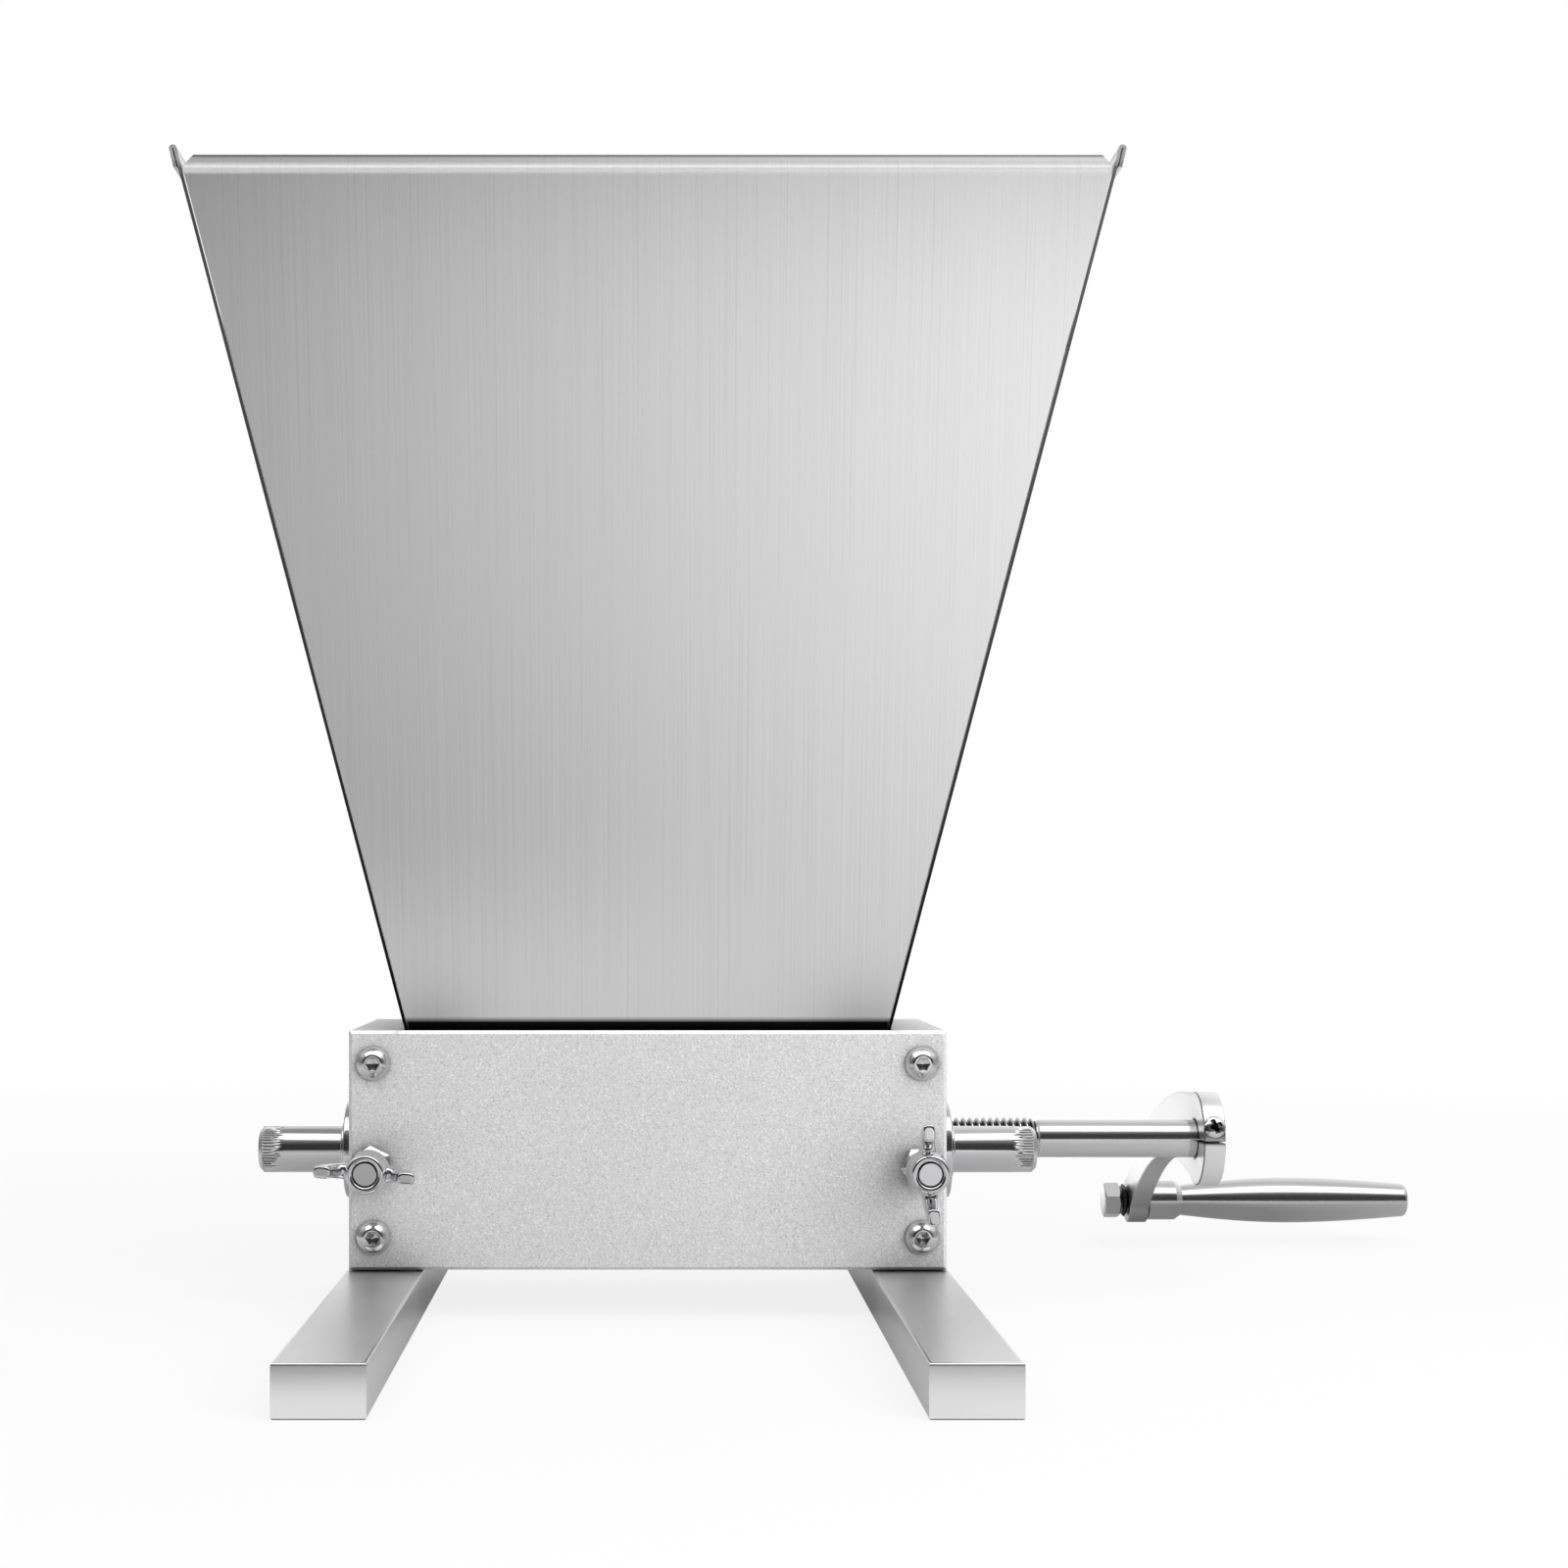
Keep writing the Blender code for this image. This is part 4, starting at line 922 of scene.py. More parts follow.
KNOB_RADIUS = 0.00615
KNOB_CHAMFER = 0.0011
KNURL_DEPTH = 0.00038
KNURL_LENGTH = 0.0062
# Where and how strongly the knurl's grooves take painted shade.
KNURL_SHADE_SPAN = (0.0064, 0.0009)
KNURL_SHADE = 0.5
ECCENTRICITY = 0.001
IDLER_JOURNAL_LENGTH = 0.0115


def adjuster_grid(way, teeth, reach):
    """An adjuster, its plate face at height 0: knurled knob, boss, flange, sleeve and bore.

    On the knurl the radius is the stem's less a depth times 1 - |sin(teeth angle / 2)|, with the
    teeth a little uneven. The depth fades in from a start that wavers round the knob.
    """
    angle = around(ROUND * 6)
    unevenness = 0.35 * np.sin(7 * angle)
    depth = KNURL_DEPTH * (1 - np.abs(np.sin(teeth * angle / 2 + unevenness)))
    waver = 0.0009 * np.sin(17 * angle) * np.sin(5 * angle)
    start, end = reach - KNURL_LENGTH + waver, reach - KNOB_CHAMFER
    fade_in, fade_out = 0.0030, 0.0003
    profile = [(0, reach), (KNOB_RADIUS - KNOB_CHAMFER, reach), (KNOB_RADIUS - 0.0001, end)]
    profile = [*softened(profile, 0.0003)]
    share = np.linspace(0, 1, 18)[:, None]
    rows = end * (1 - share) + start * share
    fade = np.clip((rows - start) / fade_in, 0, 1) * np.clip((end - rows) / fade_out, 0, 1)
    profile += zip(KNOB_RADIUS - 0.00005 - depth * fade, rows)
    boss, flange, sleeve, mouth = 0.0075, 0.0128, 0.010, 0.0052
    thickness, low = 0.0025, -END_PLATE_THICKNESS
    stem = [(KNOB_RADIUS, np.min(start) - 0.0001), (KNOB_RADIUS, 0.0036)]
    steps = [(boss, 0.0035), (boss, thickness), (flange, thickness), (flange, GAP)]
    foot = [(sleeve, GAP), (sleeve, low), (mouth, low)]
    edges = [0.0004, 0.0003, 0.0002, 0.0006, 0.0002, 0.0001, 0.0003]
    outer = rings([*profile, *softened(stem + steps + foot, edges)], angle)
    bore, bottom = 0.0051, ROLLER_HALF + IDLER_JOURNAL_LENGTH - HALF_WIDTH + GAP
    shift = (-way * ECCENTRICITY, 0)
    return np.concatenate([outer, rings([(bore, low), (bore, bottom), (0, bottom)], angle, shift)])


class MILL_OT_adjusters(bpy.types.Operator):
    """Makes the two eccentric adjusters with their knurled knobs"""

    bl_idname = "mill.adjusters"
    bl_label = "Adjusters"

    def execute(self, context):
        teeth = context.scene.mill_sizes.knurl_teeth
        for side, way in SIDES:
            node = f"{side}_adjuster"
            low, high = corners(node)
            end = (high if way > 0 else low)[0]
            place = middle(node)
            place[0] = MILL_X + way * HALF_WIDTH
            grid = adjuster_grid(way, teeth, abs(end - place[0]))
            mesh = mesh_of(node, skin(placed(grid, ALONG_X if way > 0 else AGAINST_X, place)))
            # Painted shade in the knurl's grooves, at half strength.
            ends = sorted(end - way * inset for inset in KNURL_SHADE_SPAN)
            crest = KNOB_RADIUS - 0.00012
            share = depth_share(mesh, place[1:], crest - KNURL_DEPTH, crest, *ends)
            mark_painted_shade(mesh, KNURL_SHADE * share)
            stand_in(f"{side}_knob", mesh, "polished_steel", node)
        return {"FINISHED"}


# Drive shaft and rollers


class MILL_OT_drive_shaft(bpy.types.Operator):
    """Makes the drive shaft with its thread"""

    bl_idname = "mill.drive_shaft"
    bl_label = "Drive shaft"

    def execute(self, context):
        pitch = context.scene.mill_sizes.shaft_pitch
        angle = around(ROUND)
        journal, core, root, crest, neck = 0.0060, 0.0070, 0.0047, 0.0059, 0.0049
        thread_length, shade_below = 0.0302, 0.0058
        left_end, thread_end = GAP - HALF_WIDTH, HALF_WIDTH + thread_length
        left = [(0, left_end), (journal, left_end), (journal, -ROLLER_HALF), (core, -ROLLER_HALF)]
        right = [(core, ROLLER_HALF), (journal, ROLLER_HALF), (journal, HALF_WIDTH - 0.0005)]
        profile = [*softened([*left, *right, (neck, HALF_WIDTH - 0.0002)], 0.0003)]
        profile += thread(root, crest, pitch, HALF_WIDTH, thread_end, angle, rows=12)
        runout = [(neck, thread_end), (neck, thread_end + 0.0006)]
        stem = [(STEM_RADIUS, thread_end + 0.0009), (STEM_RADIUS, SHAFT_END), (0, SHAFT_END)]
        profile += [*softened(runout + stem, [0.0001, 0.0002, 0.0006])]
        place = (MILL_X, DRIVE_AXIS[1], DRIVE_AXIS[2])
        mesh = turned("drive_shaft", profile, angle, ALONG_X, place)
        # Painted shade in the thread's roots, below the given radius.
        ends = (MILL_X + HALF_WIDTH, MILL_X + thread_end)
        mark_painted_shade(mesh, depth_share(mesh, place[1:], neck, shade_below, *ends))
        stand_in("threaded_shaft", mesh, "polished_steel", "drive_shaft", look="soft_steel")
        return {"FINISHED"}


def roller_grid(hand):
    """A fluted roller in one closed loop of rings: outside, ends and bore.

    A flute's radius falls from crest to root and back in straight lines over each 48th of a turn,
    and the pattern turns by 24 degrees from end to end.
    """
    flutes, samples, rows, lead = 48, 8, 24, math.radians(24)
    crest, depth, bore, edge = 0.0155, 0.0007, 0.0071, 0.0004
    flat, slant = 0.12, 0.8
    half = ROLLER_HALF
    angle = around(flutes * samples)
    share = np.abs(2 * np.mod(angle * flutes / FULL_TURN, 1) - 1)
    radius = crest - depth * np.clip((share - flat) / slant, 0, 1)
    height = np.concatenate([[-half], np.linspace(edge - half, half - edge, rows), [half]])
    twist = hand * lead * height / (2 * half)
    held = np.minimum(radius, crest - edge)
    reach = np.stack([held, *[radius] * rows, held])
    x = reach * np.cos(angle + twist[:, None])
    y = reach * np.sin(angle + twist[:, None])
    outside = np.stack([x, y, np.broadcast_to(height[:, None], x.shape)], axis=-1)
    first = rings([(bore, -half)], angle + twist[0])
    last = rings([(bore, half)], angle + twist[-1])
    return np.concatenate([first, outside, last])


class MILL_OT_rollers(bpy.types.Operator):
    """Makes the two fluted rollers"""

    bl_idname = "mill.rollers"
    bl_label = "Rollers"

    def execute(self, context):
        for node, hand in (("drive_roller", 1), ("idler_roller", -1)):
            place = middle(node)
            place[0] = MILL_X
            grid = roller_grid(hand)
            bore = skin(placed(np.stack([grid[-1], grid[0]]), ALONG_X, place))
            mesh = mesh_of(node, skin(placed(grid, ALONG_X, place)), bore, sharp=math.radians(25))
            stand_in(f"fluted_{node}", mesh, "hardened_steel", node)
        return {"FINISHED"}


# Hopper


SHEET = 0.0008
HEM_WIDTH = 0.005
MOUTH_HALF_WIDTH = 0.1136
MOUTH_HALF_DEPTH = 0.0812
LIP_INSET = 0.0068
LIP_CUT = 0.0019
EDGE_MARK = 10


def hem(path, way):
    """The path with a fold beside its end: over the edge to one side and back along it."""
    start, end = np.array(path[-2]), np.array(path[-1])
    run = end - start
    run[:2] /= np.linalg.norm(run[:2])
    run[2] = 0
    over = end + np.array([run[1], -run[0], 0]) * way * (SHEET + GAP)
    return [*path, over, over - run * HEM_WIDTH]


def sheet_mesh(name, path, along, outwards, bends):
    """A folded sheet and its map: path points are (distance outwards, height, half length).

    The softened path is moved by half the sheet's thickness to both sides of itself, the two lines
    are joined to a loop, and the loop is drawn out to the half length either way. The map holds the
    place along the sheet and the way travelled up it. On the cut edges it lies 10 m aside, which
    their finish reads.
    """
    line = softened(path, bends, steps=7)
    run = np.gradient(line[:, :2], axis=0)
    run /= np.linalg.norm(run, axis=1, keepdims=True)
    normal = np.stack([run[:, 1], -run[:, 0]], axis=1) * (SHEET / 2)
    travel = np.concatenate([[0], np.cumsum(np.linalg.norm(np.diff(line[:, :2], axis=0), axis=1))])
    loop = np.concatenate([line[:, :2] + normal, (line[:, :2] - normal)[::-1]])
    half = np.concatenate([line[:, 2], line[::-1, 2]])
    passed = np.concatenate([travel, travel[::-1]])
    share = np.linspace(-1, 1, 9)
    x = half[:, None] * share
    reach, height = (np.broadcast_to(loop[:, k : k + 1], x.shape)[..., None] for k in (0, 1))
    grid = x[..., None] * np.array(along) + reach * np.array(outwards) + height * UP
    grid[..., 0] += MILL_X
    points, faces = skin(grid, wrap_rings=True)
    count, columns = len(loop), len(share)
    i = np.arange(count // 2 - 1)
    ring = np.stack([i, i + 1, count - 2 - i, count - 1 - i], axis=1) * columns
    caps = np.concatenate([ring, ring + columns - 1])
    mesh = bpy.data.meshes.new(name)
    mesh.from_pydata(points.tolist(), [], [*faces.tolist(), *caps.tolist()])
    corner = np.zeros(len(mesh.loops), int)
    mesh.loops.foreach_get("vertex_index", corner)
    chart = np.stack([x, np.broadcast_to(passed[:, None], x.shape)], axis=-1).reshape(-1, 2)[corner]
    chart[faces.size :, 0] += EDGE_MARK
    mesh.uv_layers.new(name="sheet").data.foreach_set("uv", chart.ravel())
    return finished(mesh, sharp=math.radians(50))


class MILL_OT_hopper(bpy.types.Operator):
    """Makes the four folded sheets of the hopper"""

    bl_idname = "mill.hopper"
    bl_label = "Hopper"

    def execute(self, context):
        low = corners("hopper_front")[0][2]
        spigot_x, spigot_y = HALF_OPENING - GAP, INNER_DEPTH - GAP
        raised = (FOLD_HEIGHT - BODY_TOP) / (BEND_HEIGHT - BODY_TOP)
        fold_x = spigot_x + (MOUTH_HALF_WIDTH - spigot_x) * raised
        fold_y = spigot_y + (MOUTH_HALF_DEPTH - spigot_y) * raised
        lean = (fold_x - spigot_x) / (FOLD_HEIGHT - BODY_TOP)
        rim_x = spigot_x + lean * (RIM_HEIGHT - BODY_TOP)
        half_sheet, margin = SHEET / 2, SHEET + GAP
        foot, fold = spigot_y - half_sheet, fold_y - half_sheet
        long_path = [
            (foot, low, spigot_x - margin),
            (foot, BODY_TOP, spigot_x - margin),
            (fold, FOLD_HEIGHT, fold_x - margin),
            (fold - LIP_INSET, RIM_HEIGHT, fold_x - margin - LIP_CUT),
        ]
        end_path = [
            (spigot_x - half_sheet, low, spigot_y),
            (spigot_x - half_sheet, BODY_TOP, spigot_y),
            (fold_x - half_sheet, FOLD_HEIGHT, fold_y),
            (rim_x - half_sheet, RIM_HEIGHT, fold_y),
        ]
        foot_bend, end_bend, hem_bend = 0.0012, 0.0005, margin / 2
        bend = context.scene.mill_sizes.sheet_bend
        long_sheet = hem(long_path, -1), [foot_bend, bend, hem_bend, hem_bend]
        end_sheet = hem(end_path, 1), [foot_bend, end_bend, hem_bend, hem_bend]
        walls = (
            ("front", long_sheet, (-1, 0, 0), (0, -1, 0)),
            ("back", long_sheet, (1, 0, 0), (0, 1, 0)),
            ("left", end_sheet, (0, 1, 0), (-1, 0, 0)),
            ("right", end_sheet, (0, -1, 0), (1, 0, 0)),
        )
        for side, (path, bends), along, outwards in walls:
            mesh = sheet_mesh(f"hopper_{side}", path, along, outwards, bends)
            stand_in(f"{side}_sheet", mesh, "brushed_sheet", f"hopper_{side}")
        return {"FINISHED"}


# Flat plates with rounded edges and holes


def circle(radius, angle, centre=(0, 0)):
    """Points of a circle at the angles."""
    return np.stack([centre[0] + radius * np.cos(angle), centre[1] + radius * np.sin(angle)], 1)


def hole(radius, place, steps=48):
    """A round hole's outline, clockwise."""
    return circle(radius, -around(steps)[:-1], place)


def rectangle(width, height):
    """A rectangle's outline, counter-clockwise."""
    return np.array([(1, 1), (-1, 1), (-1, -1), (1, -1)]) * (width / 2, height / 2)


def rounded(half, top, bottom, steps=4):
    """Rows (inset, height) down a plate's wall, with a rounded edge at its top and its bottom.

    The edges are quarter circles of their own radii. A flat row beyond each keeps the shading of
    the faces even.
    """
    flat_row = 0.0004
    turn = np.linspace(0, QUARTER_TURN, steps + 1)
    inwards, down = 1 - np.cos(turn), 1 - np.sin(turn)
    inset = np.concatenate([top * inwards[::-1], bottom * inwards])
    height = np.concatenate([half - top * down[::-1], bottom * down - half])
    inset = np.concatenate([[top + flat_row], inset, [bottom + flat_row]])
    return np.stack([inset, np.concatenate([[half], height, [-half]])], axis=1)


def edge_band(loop, rows):
    """The wall of a plate along a loop: each row of (inset, height) is the loop moved inwards.

    Each point moves along the mean of its two sides' normals, further where they meet in a corner.
    """
    one, two = loop - np.roll(loop, 1, axis=0), np.roll(loop, -1, axis=0) - loop
    one /= np.linalg.norm(one, axis=1, keepdims=True)
    two /= np.linalg.norm(two, axis=1, keepdims=True)
    run = one + two
    run /= np.linalg.norm(run, axis=1, keepdims=True)
    stretch = 1 / np.clip(np.sum(run * one, axis=1), 0.6, 1)
    inwards = np.stack([-run[:, 1], run[:, 0]], axis=1) * stretch[:, None]
    flat = loop[None] + inwards[None] * rows[:, None, :1]
    z = np.broadcast_to(rows[:, None, 1:], (*flat.shape[:2], 1))
    band = np.concatenate([flat, z], axis=-1)
    return np.concatenate([band, band[:, :1]], axis=1)


def plate_mesh(name, walls, direction, place):
    """A flat plate: a wall along every (loop, rows), the outline first, and two filled faces."""
    bands = [edge_band(loop, rows) for loop, rows in walls]
    skins = [skin(band) for band in bands]
    for ring in (0, -1):
        loops = [band[ring, :-1] for band in bands]
        faces = tessellate_polygon([loop.tolist() for loop in loops])
        skins.append((np.concatenate(loops), np.array(faces)))
    return mesh_of(name, *[(placed(points, direction, place), faces) for points, faces in skins])


# Crank


CRANK_THROW = 0.110
CRANK_BOW = 0.0117
CRANK_THICKNESS = 0.006
HUB_RADIUS = 0.013
EYE_RADIUS = 0.0070
ROOT_HALF_WIDTH = 0.0123
WAIST_HALF_WIDTH = 0.0056
HALF_SLIT = 0.00025
CLAMP_LIFT = math.radians(19)
CLAMP_TURN = math.radians(20)
CLAMP_SEAT = HUB_RADIUS - 0.0009 + GAP


def arm_outline(stem):
    """The arm's outline with its slit and bore in one loop, counter-clockwise.

    The arm's two edges lie on either side of an arc from hub to eye, at a half width that falls
    from root to waist with the square of the share left.
    """
    radius = (CRANK_THROW**2 / 4 + CRANK_BOW**2) / (2 * CRANK_BOW)
    centre = np.array([CRANK_THROW / 2, CRANK_BOW - radius])
    swing = math.asin(CRANK_THROW / 2 / radius)
    share = np.linspace(0, 1, 121)
    angle = -swing + 2 * swing * share
    out = np.stack([np.sin(angle), np.cos(angle)], 1)
    half = WAIST_HALF_WIDTH + (ROOT_HALF_WIDTH - WAIST_HALF_WIDTH) * (1 - share) ** 2
    eye = np.array([CRANK_THROW, 0])
    edges = []
    for way in (1, -1):
        edge = centre + out * (radius + way * half)[:, None]
        clear = np.linalg.norm(edge, axis=1) > HUB_RADIUS
        clear &= np.linalg.norm(edge - eye, axis=1) > EYE_RADIUS
        edges.append(edge[clear])
    upper, lower = edges
    above, below = (math.atan2(edge[0][1], edge[0][0]) for edge in edges)
    over, under = (math.atan2(y, x) for x, y in (edge[-1] - eye for edge in edges))
    slit = math.pi + CRANK_DROOP
    outer, inner = HALF_SLIT / HUB_RADIUS, HALF_SLIT / stem
    return np.concatenate(
        [
            circle(HUB_RADIUS, np.linspace(above, slit - outer, 71)[1:]),
            circle(stem, np.linspace(slit - inner, slit + inner - FULL_TURN, 97)),
            circle(HUB_RADIUS, np.linspace(slit + outer, below + FULL_TURN, 41)[:-1]),
            lower,
            circle(EYE_RADIUS, np.linspace(under, over, 49)[1:-1], eye),
            upper[::-1],
        ]
    )


def cross_profile(angle):
    """The clamp screw: a domed head with a cross recess, its seat at height 0, its shank below.

    Over the crown the height is the dome's less a depth wherever the nearer of |x| and |y| is under
    the slot's half width and the farther under its half length, with soft sides.
    """
    rim, height, shank, foot = 0.0030, 0.0018, 0.0015, 0.0009
    half_width, half_length, depth = 0.00062, 0.0020, 0.0011
    side_run, end_run = 0.00014, 0.0003
    recess_end, plain_start = 0.00215, 0.00225
    under, end = -0.0004, -0.0055
    radius = np.linspace(0, recess_end, 22)[:, None]
    x, y = np.abs(radius * np.cos(angle)), np.abs(radius * np.sin(angle))
    narrow, wide = np.minimum(x, y), np.maximum(x, y)
    slot = np.clip((half_width - narrow) / side_run, 0, 1)
    slot = slot * np.clip((half_length - wide) / end_run, 0, 1)
    bowl = [(r, z + foot) for r, z in dome(rim, height - foot, 0.0003, 24)]
    crown = np.interp(radius, *np.transpose(bowl), left=height)
    profile = [(r[0], z) for r, z in zip(radius, crown - depth * slot)]
    profile += [(r, z) for r, z in bowl if r > plain_start]
    profile += [(rim, -0.0003), (rim - 0.0001, under), (shank, under)]
    return profile + [(shank, end), (0, end)]


def arm_painted_shade(points, stem):
    """How much painted shade the arm takes at points of its own frame.

    It is dark within a ring round the bore and a strip along the slit, and fainter in a band at
    the inner rim of the hub, a painted dark line along the face's edge. The slit leaves the bore
    at half a turn plus the droop.
    """
    ring, strip, band, faint = 0.0007, 0.0003, 0.0003, 0.7
    x, y, z = points.T
    away = np.hypot(x, y)
    along = -x * math.cos(CRANK_DROOP) - y * math.sin(CRANK_DROOP)
    beside = x * math.sin(CRANK_DROOP) - y * math.cos(CRANK_DROOP)
    dark = (away < stem + ring) | ((along > 0) & (np.abs(beside) < strip))
    by_rim = np.abs(away - HUB_RADIUS + 0.0002) < band
    by_rim &= np.abs(z + CRANK_THICKNESS / 2 - 0.00018) < band / 2
    return np.maximum(dark, faint * by_rim)


class MILL_OT_crank(bpy.types.Operator):
    """Makes the crank arm and the screw in its hub's rim"""

    bl_idname = "mill.crank"
    bl_label = "Crank"

    def execute(self, context):
        edge = context.scene.mill_sizes.arm_edge
        place = (MILL_X + SHAFT_END - CRANK_THICKNESS / 2, DRIVE_AXIS[1], DRIVE_AXIS[2])
        direction = turn_x(-CRANK_DROOP) @ np.array([[0, 0, 1], [1, 0, 0], [0, 1, 0]])
        stem = STEM_RADIUS + BORE_PLAY
        rows = rounded(CRANK_THICKNESS / 2, edge, edge)
        walls = ((arm_outline(stem), rows), (hole(PIN_BORE, (CRANK_THROW, 0)), rows))
        mesh = plate_mesh("crank_arm", walls, direction, place)
        # Painted shade round the bore, along the slit and at the hub's rim.
        mark_painted_shade(mesh, arm_painted_shade((numbers_of(mesh.vertices, "co") - place) @ direction, stem))
        stand_in("curved_arm", mesh, "satin_bar", "crank_arm")

        angle = around(SMALL_ROUND)
        lean = turn_x(QUARTER_TURN - CLAMP_LIFT) @ turn_z(CLAMP_TURN)
        seat = place + np.array([0, -math.cos(CLAMP_LIFT), math.sin(CLAMP_LIFT)]) * CLAMP_SEAT
        mesh = turned("crank_screw", cross_profile(angle), angle, lean, seat)
        # Painted shade in the cross recess and under the head, below the given height.
        x, y, z = ((numbers_of(mesh.vertices, "co") - seat) @ lean).T
        radii, floors = [0, 0.0021, 0.0022, 0.0030], [0.0016, 0.0012, 0.0009, 0.0006]
        shade_below = np.interp(np.hypot(x, y), radii, floors)
        mark_painted_shade(mesh, np.clip((shade_below - z) / 0.0002, 0, 1))
        stand_in("clamp_screw", mesh, "polished_steel", "crank_screw")
        return {"FINISHED"}


# Grip


RING_PLACE = 0.044
RING_HALF = 0.0005 + GAP
RING_STEP = 0.0006 + GAP
GRIP_LENGTH = 0.0824
GRIP_BORE_DEPTH = 0.050
BOLT_RADIUS = 0.0030
BOLT_TURN = math.radians(28)


def ring_groove(wall, floor):
    """The groove of the snap ring, as a profile from a wall's radius to its floor's and back."""
    low, high = RING_PLACE - RING_HALF, RING_PLACE + RING_HALF
    return [(wall, low), (floor, low), (floor, high), (wall, high)]


def grip_profile():
    """The grip's profile from its outer end: rounding, belly, neck, ferrule, then up its bore.

    The belly's radius follows a quarter cosine down to the end and a quarter sine to the neck.
    """
    end, edge, belly, belly_place, neck, neck_place = 0.0052, 0.0015, 0.0071, 0.044, 0.00475, 0.0107
    ferrule, ferrule_length = 0.0062, 0.0086
    turn = np.linspace(0, QUARTER_TURN, 7)
    tip = np.stack([end - edge * (1 - np.sin(turn)), GRIP_LENGTH - edge * (1 - np.cos(turn))], 1)
    share = np.linspace(0, 1, 30)
    swell = 1 - np.cos(QUARTER_TURN * (1 - share))
    start = GRIP_LENGTH - edge
    outer = np.stack([belly + (end - belly) * swell, start + (belly_place - start) * share], 1)
    climb = np.sin(QUARTER_TURN * (1 - share))
    fall = belly_place + (neck_place - belly_place) * share
    inner = np.stack([neck + (belly - neck) * climb, fall], 1)
    collar = [inner[-1], (ferrule, ferrule_length), (ferrule, 0), (PIN_BORE, 0)]
    collar = softened(collar, [0.0003, 0.0005])[1:]
    bore = ring_groove(PIN_BORE, PIN_BORE + RING_STEP)
    bore += [(PIN_BORE, GRIP_BORE_DEPTH), (0, GRIP_BORE_DEPTH)]
    return np.concatenate([[(0, GRIP_LENGTH)], tip, outer[1:-1], inner, collar, bore])


def bolt_profile(angle):
    """The grip's bolt with its hexagon head; height 0 is the grip's inner end."""
    across, root, pitch, edge = 0.010, 0.0025, 0.001, 0.0002
    thread_end, end, chamfer = 0.010, 0.0497, 0.0004
    stand_off, head_height = 0.0024, 0.0051
    flat = across / 2
    side = hexagon(across, angle)
    drop = (side - flat) * CHAMFER_SLOPE
    top = -CRANK_THICKNESS - GAP - stand_off
    low = top - head_height
    head = [(0, low), (flat * 0.9, low), (flat * 0.95, low + 0.00005)]
    head += [(side, low + drop + edge), (side, top - drop - edge), (flat * 0.95, top)]
    return [
        *head,
        (root, top),
        *thread(root, BOLT_RADIUS, pitch, top, thread_end, angle),
        (BOLT_RADIUS, thread_end + 0.0006),
        *ring_groove(BOLT_RADIUS, BOLT_RADIUS - RING_STEP),
        (BOLT_RADIUS, end - chamfer),
        (BOLT_RADIUS - chamfer, end),
        (0, end),
    ]


class MILL_OT_grip(bpy.types.Operator):
    """Makes the turned grip, its hexagon bolt and the thin lock nut"""

    bl_idname = "mill.grip"
    bl_label = "Grip"

    def execute(self, context):
        axis = middle("grip")
        place = (corners("grip")[0][0], axis[1], axis[2])
        direction = turn_x(-CRANK_DROOP) @ ALONG_X
        mesh = turned("grip", grip_profile(), around(ROUND), direction, place)
        stand_in("turned_grip", mesh, "polished_steel", "grip", look="soft_steel")
        angle = around(SMALL_ROUND)
        lay = direction @ turn_z(BOLT_TURN)
        mesh = turned("grip_bolt", bolt_profile(angle), angle, lay, place, sharp=SHARP_FLATS)
        stand_in("hexagon_bolt", mesh, "polished_steel", "grip_bolt")
        across, thickness, high = 0.009, 0.0015, -GAP - CRANK_THICKNESS - GAP
        profile = nut_profile(across, high - thickness, high, angle)
        node = "grip_lock_nut"
        mesh = turned(node, profile, angle, direction, place, closed=True, sharp=SHARP_FLATS)
        stand_in("thin_nut", mesh, "blackened_steel", node)
        return {"FINISHED"}


# Covers and feet


class MILL_OT_covers(bpy.types.Operator):
    """Makes the two covers with rounded edges"""

    bl_idname = "mill.covers"
    bl_label = "Covers"

    def execute(self, context):
        edge = context.scene.mill_sizes.plate_edge
        height = BODY_TOP - BODY_LOW[2]
        centre = BODY_LOW[2] + height / 2
        half, screw_bore, stud_bore = COVER_THICKNESS / 2, 0.0028, 0.0033
        small = rounded(half, top=0.0001, bottom=0.0001, steps=1)
        large = rounded(half, top=edge, bottom=0.0002, steps=1)
        for face, way, direction in FACES:
            walls = [(rectangle(2 * HALF_WIDTH, height), large)]
            bores = [(node, screw_bore) for node, _ in cover_screws(face)]
            if face == "front":
                bores += [(f"{side}_lock_stud", stud_bore) for side, _ in SIDES]
            for node, radius in bores:
                x, _, z = middle(node)
                walls.append((hole(radius, (x - MILL_X, (centre - z) * way)), small))
            place = (MILL_X, way * (HALF_DEPTH - half), centre)
            mesh = plate_mesh(f"{face}_cover", walls, direction, place)
            bare_or_lit_faces(mesh, axis=2, low=0.5, high=0.9)
            stand_in(f"{face}_plate", mesh, "blasted_aluminium", f"{face}_cover")
        return {"FINISHED"}


